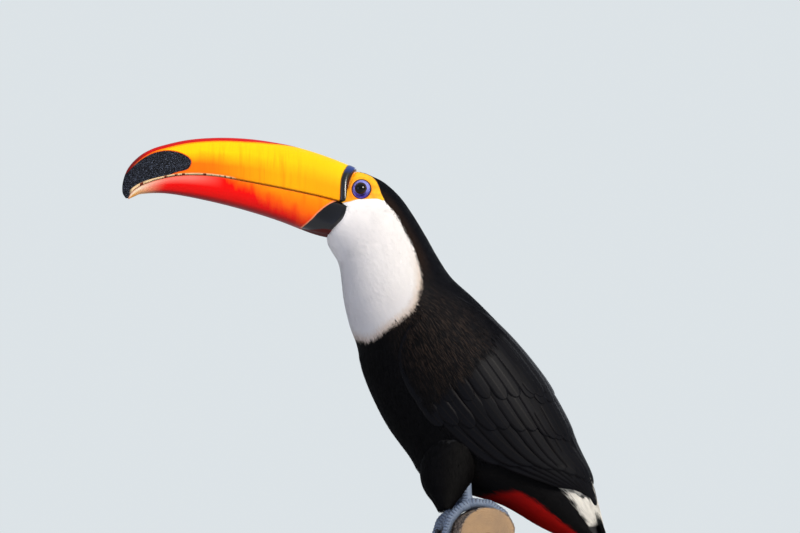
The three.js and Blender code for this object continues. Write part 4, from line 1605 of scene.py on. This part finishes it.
def feather_tail():
    build = vane_build()
    for pair in reversed(range(TAIL_PAIRS)):
        for side in (1, -1):
            root_y, tip_y = side * (2 + 1.5 * pair), side * (4.2 + 3.5 * pair)
            end = TAIL_TIP - 0.06 * pair
            depth = 0.5 + 0.42 * pair + (0.2 if side < 0 else 0)

            def place_at(t, height, root_y=root_y, tip_y=tip_y, end=end, depth=depth):
                station = TAIL_ROOT + (end - TAIL_ROOT) * t
                return tail_point(station, root_y + (tip_y - root_y) * t, depth - height)

            lay_vane(build, place_at, TAIL_WIDTH, 1.2, 0.2, 0.02 * side, 0.8)
    finish_vanes(build, "tail_feathers", 0.2, vane_material)


feather_tail()

# %% [markdown]
# ## Legs, toes and claws
#
# Toucans grip with two toes in front and two behind. The skin of the foot is blue-grey and
# plated: broad scutes run across the top of each toe and down the leg, and small pads lie
# below. Each toe is a rolled grid round a line on the perch, and its ridges are part of the
# rule. The claws are curved horn sheaths of the same making.

# %% Where the perch and the toes lie
PERCH_CENTRE = np.array([4.0, 0.0, 150.0])
PERCH_RADIUS = 25.0
PERCH_HALF = 72.0
PERCH_TURN = math.radians(8)
PERCH_ALONG = np.array([-math.sin(PERCH_TURN), math.cos(PERCH_TURN), 0.0])
PERCH_FORWARD = np.array([-math.cos(PERCH_TURN), -math.sin(PERCH_TURN), 0.0])
UPWARD = np.array([0.0, 0.0, 1.0])
FOOT_REACH, HUB_ANGLE, HUB_RADIUS = 24.0, 107.0, 6.4
TOE_OVERLAP, TOE_SPREAD = 7.0, 5.6
TOE_RADIUS, TOE_END_RADIUS = 4.1, 3.1
HEEL = (-3.0, 208.0)
CLAW_LENGTH, CLAW_RADIUS, CLAW_ARCH = 15.0, 2.5, 2.2
TOES = {
    "front_outer": (-1, 1, 46), "front_inner": (1, 1, 32),
    "back_outer": (-1, -1, 42), "back_inner": (1, -1, 27),
}


def perch_point(along, degrees, radius):
    """Points at a distance along the perch and an angle from its rear side over the top."""
    angle = np.radians(degrees)
    across = np.outer(radius * np.cos(angle), -PERCH_FORWARD)
    return PERCH_CENTRE + np.outer(along, PERCH_ALONG) + across + np.outer(radius * np.sin(angle), UPWARD)


def toe_line(foot, side, forward, length):
    """The rule of a toe's middle line: share of its length and distance from the perch's axis."""
    turn = math.degrees(length / (PERCH_RADIUS + TOE_RADIUS))

    def line(f, radius):
        spread = TOE_SPREAD * np.minimum(1, 0.55 + 2 * f)
        degrees = HUB_ANGLE + forward * (turn * f - TOE_OVERLAP)
        return perch_point(foot * FOOT_REACH - foot * side * spread, degrees, radius)

    return line


def tube_round(line, radius_at, outward_at, u, v, squash):
    """Points of a tube: radius_at gives its radius at (u, v), outward_at its upper side."""
    middle = line(u)
    ahead = line(u + 0.01) - line(u - 0.01)
    ahead /= np.linalg.norm(ahead, axis=1)[:, None]
    out = outward_at(u)
    out = out - ahead * np.einsum("ij,ij->i", out, ahead)[:, None]
    out /= np.linalg.norm(out, axis=1)[:, None]
    aside = np.cross(ahead, out)
    turn = v * 2 * np.pi
    radius = radius_at(u, v)
    ring = aside * (radius * np.sin(turn) * squash)[:, None] + out * (-radius * np.cos(turn))[:, None]
    return middle + ring


# %% Roll the toes, the legs and the claws
SCUTE = 2.6
LEG_LENGTH = 36.0


def scute_furrow(walked, v):
    """1 in the furrows between the broad plates of the upper side, 0 on the plates."""
    top = ease(-0.2, 0.3, -np.cos(v * 2 * np.pi))
    return top * np.exp(-(((walked / SCUTE) % 1 - 0.5) / 0.17) ** 2)


def toe_rule(foot, side, forward, length):
    place = toe_line(foot, side, forward, length)

    def radius_along(u):
        return TOE_RADIUS + (TOE_END_RADIUS - TOE_RADIUS) * u + 0.35 * np.sin(u * np.pi * 3) ** 2

    def line(u):
        return place(u, PERCH_RADIUS + 0.3 + radius_along(u))

    def outward(u):
        return place(u, PERCH_RADIUS + 10) - place(u, PERCH_RADIUS + 5)

    def radius_at(u, v):
        end = np.sqrt(np.clip(1 - (np.clip(u - 0.93, 0, 1) / 0.075) ** 2, 0, 1))
        pad = 0.22 * np.sin(u * length / 4.2) ** 2 * ease(0.2, 0.8, np.cos(v * 2 * np.pi))
        return (radius_along(u) - 0.5 * scute_furrow(u * length, v) + pad) * end

    return lambda u, v: tube_round(line, radius_at, outward, u, v, 1.04) * MM


def claw_rule(foot, side, forward, length):
    place = toe_line(foot, side, forward, length)
    reach = CLAW_LENGTH / length

    def radius_along(u):
        return CLAW_RADIUS * (1 - 0.86 * np.clip(u, 0, 1) ** 1.2)

    def line(u):
        arch = CLAW_ARCH * np.sin(np.pi * (0.12 + 0.88 * np.clip(u, 0, 1)))
        return place(0.985 + reach * u, PERCH_RADIUS + 0.35 + radius_along(u) + arch)

    def outward(u):
        return place(0.985 + reach * u, PERCH_RADIUS + 10) - place(0.985 + reach * u, PERCH_RADIUS + 5)

    def radius_at(u, v):
        end = np.sqrt(np.clip(1 - np.clip((u - 0.9) / 0.1, 0, 1) ** 2, 0, 1))
        return radius_along(u) * end * np.sqrt(np.clip(u / 0.04, 0, 1))

    return lambda u, v: tube_round(line, radius_at, outward, u, v, 0.8) * MM


def leg_rule(foot):
    hub = perch_point(foot * FOOT_REACH, HUB_ANGLE, PERCH_RADIUS + 0.3 + HUB_RADIUS)[0]
    heel = np.array([HEEL[0], hub[1], HEEL[1]])
    bottom = hub - (heel - hub) * 0.2

    def line(u):
        return bottom + np.outer(u, heel - bottom)

    def outward(u):
        return np.tile(np.array([-1.0, 0.0, 0.4]), (len(u), 1))

    def radius_at(u, v):
        swell = 4.0 + 2.1 * np.exp(-((u - 0.12) / 0.13) ** 2) + 0.9 * ease(0.75, 1.0, u)
        ends = np.sqrt(np.clip(u / 0.08, 0, 1)) * np.sqrt(np.clip((1 - u) / 0.05, 0, 1))
        return (swell - 0.55 * scute_furrow(u * LEG_LENGTH, v)) * ends

    return lambda u, v: tube_round(line, radius_at, outward, u, v, 0.94) * MM


def join_meshes(name, meshes):
    build = bmesh.new()
    for mesh in meshes:
        build.from_mesh(mesh)
    return mesh_from(build, name)


def foot_paint():
    paint = Paint("foot skin")
    plates = paint.cells("DISTANCE_TO_EDGE", 1.1)
    slow = paint.noise(paint.place(), 0.25, 2)
    fine = paint.noise(paint.place(), 1.6, 3)
    body = paint.mix(slow, colour(88, 104, 128), colour(124, 138, 158))
    furrow = paint.stored("furrow")
    body = paint.mix(plates.below(0.06, 0.04) * 0.3, body, colour(58, 66, 84))
    body = paint.mix(furrow.above(0.45, 0.3) * 0.75, body, colour(46, 52, 68))
    body = paint.mix(fine.above(0.6, 0.1) * 0.45, body, colour(158, 166, 178))
    relief = plates.above(0.06, 0.06) * 0.35 + fine * 0.5 - furrow * 0.4 + 0.4
    return paint.finish(
        Base_Color=body, Roughness=0.5 + fine * 0.15, Normal=paint.bump(relief, 0.22, 0.7),
        Specular_IOR_Level=0.4,
    )


def claw_paint():
    paint = Paint("claw horn")
    grain = paint.noise(paint.stretched(0.3, 0.8, 0.8), 1.0, 3)
    body = paint.mix(grain, colour(14, 14, 17), colour(52, 50, 52))
    return paint.finish(Base_Color=body, Roughness=0.3 + grain * 0.15, Normal=paint.bump(grain, 0.08, 0.5))


foot_material, claw_material = foot_paint(), claw_paint()
for foot, word in ((-1, "left"), (1, "right")):
    parts = []
    for toe in TOES.values():
        furrows = {"furrow": lambda u, v, length=toe[2]: scute_furrow(u * length, v)}
        parts.append(rolled_grid("toe", toe_rule(foot, *toe), around=24, along=130, values=furrows))
    furrows = {"furrow": lambda u, v: scute_furrow(u * LEG_LENGTH, v)}
    parts.append(rolled_grid("leg", leg_rule(foot), around=28, along=100, values=furrows))
    name = "foot_" + word
    place_piece(name + "_skin", join_meshes(name + "_skin", parts), foot_material, [name])
    claws = [rolled_grid("claw", claw_rule(foot, *toe), around=20, along=24) for toe in TOES.values()]
    nodes = [f"claw_{word}_{toe}" for toe in TOES]
    name = "claws_" + word
    place_piece(name, join_meshes(name, claws), claw_material, nodes)

# %% [markdown]
# ## The cut limb
#
# The perch is a short length of a grey-barked limb. Bark is ridged along the limb, cracked
# across, and flakes off to show paler wood, while the sawn ends show rings. The whole limb is
# one rolled grid: the rule starts at the middle of one sawn end, goes out to the rim, along the
# bark and back to the middle of the other end.


# %% Roll the limb
END_SHARE = 0.12
RIM_WEAR = 1.1


def limb_noise(points, size, seed):
    return np.array([noise.noise(Vector(point) / size + Vector((seed, 0, 0))) for point in points])


def limb_rule(u, v):
    degrees = v * 360
    on_end = np.minimum(u, 1 - u) / END_SHARE
    side = np.sign(0.5 - u)
    on_side = 1 - 2 * (u - END_SHARE) / (1 - 2 * END_SHARE)
    along = PERCH_HALF * np.where(on_end < 1, side, on_side)
    lumps = np.sin(np.radians(3 * degrees) + along / 17) + np.sin(np.radians(5 * degrees) - along / 9)
    radius = PERCH_RADIUS - 0.35 * (2 + lumps)
    angle = np.radians(degrees)
    wrapped = np.stack([along * 0.32, radius * np.cos(angle), radius * np.sin(angle)], 1)
    ridges = limb_noise(wrapped, 3.2, 3)
    cracks = np.abs(limb_noise(wrapped * (2.4, 1, 1), 5.5, 11))
    bark = -0.75 + 0.75 * ridges - 1.3 * np.exp(-(cracks / 0.07) ** 2)
    radius = radius + np.minimum(bark, 0.1)
    rim = np.clip(on_end, 0, 1)
    worn = np.where(on_end < 1, rim**8, np.exp(-(PERCH_HALF - np.abs(along)) / 0.8))
    along = along - side * RIM_WEAR * worn
    return perch_point(along, degrees, radius * np.where(on_end < 1, rim**0.8, 1)) * MM


def bark_paint():
    paint = Paint("bark")

    def vector_sum(operation, first, second=(0, 0, 0), output="Vector"):
        return paint.node("ShaderNodeVectorMath", {"operation": operation}, {0: first, 1: second}, output)

    arm = vector_sum("SUBTRACT", paint.place(), tuple(PERCH_CENTRE))
    along = vector_sum("DOT_PRODUCT", arm, tuple(PERCH_ALONG), "Value")
    reach = vector_sum("LENGTH", arm, output="Value")
    from_axis = (reach * reach - along * along).larger(0.0) ** 0.5
    ridges = paint.noise(paint.stretched(1, 0.16, 1, (0, 0, -PERCH_TURN)), 0.55, 5.0, 0.6)
    coarse = paint.noise(paint.place(), 0.09, 3)
    grit = paint.noise(paint.place(), 1.3, 4, 0.7)
    fissure = (ridges - 0.47).size().below(0.03, 0.03)
    # The bark is its own grey-brown, painted lighter on the ridges, with pale grit there, as painted light,
    # and dark in the fissures as painted shade.
    body = paint.mix(ridges.above(0.5, 0.2), colour(84, 74, 68), colour(142, 128, 114))
    body = paint.mix(coarse.above(0.52, 0.2) * 0.5, body, colour(150, 124, 100))
    body = paint.mix(grit.above(0.58, 0.06) * ridges.above(0.5, 0.08) * 0.7, body, colour(186, 170, 150))
    body = paint.mix(fissure * 0.85, body, colour(34, 27, 25))
    body = paint.mix(grit.below(0.38, 0.05) * 0.5, body, colour(46, 38, 35))
    rings = ((from_axis + coarse * 6) * 5.4).wave()
    wood = paint.mix(rings.above(0.2, 0.7) * 0.6, colour(170, 140, 106), colour(138, 106, 74))
    wood = paint.mix(from_axis.below(2.2, 0.8), wood, colour(116, 80, 50))
    wood = paint.mix(coarse.above(0.5, 0.2) * 0.5, wood, colour(118, 102, 88))
    wood = paint.mix(grit.above(0.6, 0.06) * 0.4, wood, colour(96, 74, 54))
    sawn = along.size().above(PERCH_HALF - 1.0, 0.15) * from_axis.below(22.6, 0.3)
    body = paint.mix(sawn, body, wood)
    relief = ridges * 0.5 + grit * 0.5 - sawn * 0.3
    return paint.finish(
        Base_Color=body, Roughness=0.9 - sawn * 0.15, Normal=paint.bump(relief, 0.7, 0.7),
        Specular_IOR_Level=0.2,
    )


limb_mesh = rolled_grid("perch_limb", limb_rule, around=200, along=260)
place_piece("perch_limb", limb_mesh, bark_paint(), ["perch"])

# %% [markdown]
# ## The stand
#
# Two steel rods rise from a turned walnut base and end inside the limb. Both shapes are round,
# so each is a profile that is spun about its axis, as on a lathe. The base gets a moulded
# edge, and a small collar covers each hole in it.


# %% Spin the base and the rods
def spun(name, profile, centre, steps):
    """Turn a profile of radius and height pairs about an upright axis."""
    build = bmesh.new()
    verts = [build.verts.new((radius * MM, 0, height * MM)) for radius, height in profile]
    edges = [build.edges.new(pair) for pair in zip(verts, verts[1:])]
    upright = {"cent": (0, 0, 0), "axis": (0, 0, 1), "angle": 2 * math.pi}
    bmesh.ops.spin(build, geom=verts + edges, steps=steps, use_merge=True, **upright)
    bmesh.ops.remove_doubles(build, verts=build.verts, dist=0.01 * MM)
    bmesh.ops.recalc_face_normals(build, faces=build.faces)
    bmesh.ops.translate(build, verts=build.verts, vec=Vector(centre) * MM)
    mesh = mesh_from(build, name)
    mesh.set_sharp_from_angle(angle=math.radians(40))
    return mesh


BASE_RADIUS, BASE_HEIGHT = 115, 20
ROD_RADIUS, ROD_REACH = 4.0, 42.0
ROD_BOTTOM, ROD_TOP, ROD_CHAMFER = 11.0, 137.0, 0.6
base_profile = [
    (0, 0), (110, 0), (113.4, 0.4), (114.6, 1.4), (BASE_RADIUS, 3), (BASE_RADIUS, 8.2),
    (114.2, 9.2), (112.6, 9.8), (111.8, 10.8), (111.7, 12.6), (111.2, 14.8), (109.6, 17.2),
    (107.2, 18.9), (104.6, 19.8), (101.8, BASE_HEIGHT), (0, BASE_HEIGHT),
]
rod_profile = [
    (0, ROD_BOTTOM), (ROD_RADIUS, ROD_BOTTOM), (ROD_RADIUS, ROD_TOP - ROD_CHAMFER),
    (ROD_RADIUS - ROD_CHAMFER, ROD_TOP), (0, ROD_TOP),
]
collar_profile = [
    (4.1, 19.9), (9.2, 19.9), (9.6, 20.3), (9.6, 21.4), (9.0, 22.2),
    (5.4, 22.8), (4.9, 23.4), (4.1, 23.6), (4.1, 19.9),
]


def walnut_paint():
    paint = Paint("walnut")
    bands = {"wave_type": "BANDS", "bands_direction": "Y"}
    looks = {"Scale": 0.022, "Distortion": 16.0, "Detail": 3.0, "Detail Scale": 1.1}
    looks["Vector"] = paint.stretched(0.1, 1, 0.5)
    rings = paint.node("ShaderNodeTexWave", bands, looks, output="Fac")
    pores = paint.noise(paint.stretched(0.035, 1.3, 1.3), 1.0, 3)
    slow = paint.noise(paint.stretched(0.2, 1, 1), 0.03, 2)
    walnut = [(0.0, colour(62, 36, 22)), (0.5, colour(96, 60, 36)), (1.0, colour(128, 84, 52))]
    body = paint.ramp(rings, walnut)
    body = paint.mix(slow * 0.5, body, colour(78, 46, 28))
    body = paint.mix(pores.above(0.62, 0.05) * 0.6, body, colour(36, 20, 12))
    return paint.finish(
        Base_Color=body, Roughness=0.34 + pores * 0.12, Normal=paint.bump(pores, 0.05, 0.4), Coat_Weight=0.35,
        Coat_Roughness=0.16,
    )


def steel_paint():
    paint = Paint("brushed steel")
    brush = paint.noise(paint.stretched(1.2, 1.2, 0.04), 1.0, 4, 0.6)
    body = paint.mix(brush, colour(176, 178, 182), colour(206, 208, 210))
    return paint.finish(
        Base_Color=body, Metallic=1.0, Roughness=0.24 + brush * 0.18, Normal=paint.bump(brush, 0.02, 0.4),
    )


base_mesh = spun("stand_base_turned", base_profile, (0, 0, 0), 144)
place_piece("stand_base_turned", base_mesh, walnut_paint(), ["stand_base"])
steel = steel_paint()
for side, word in ((-1, "near"), (1, "far")):
    foot_place = perch_point(np.array([side * ROD_REACH]), np.array([0.0]), np.array([0.0]))[0]
    centre = (foot_place[0], foot_place[1], 0)
    name = f"stand_rod_{word}_steel"
    place_piece(name, spun(name, rod_profile, centre, 40), steel, ["stand_rod_" + word])
    name = f"stand_collar_{word}"
    place_piece(name, spun(name, collar_profile, centre, 48), steel)
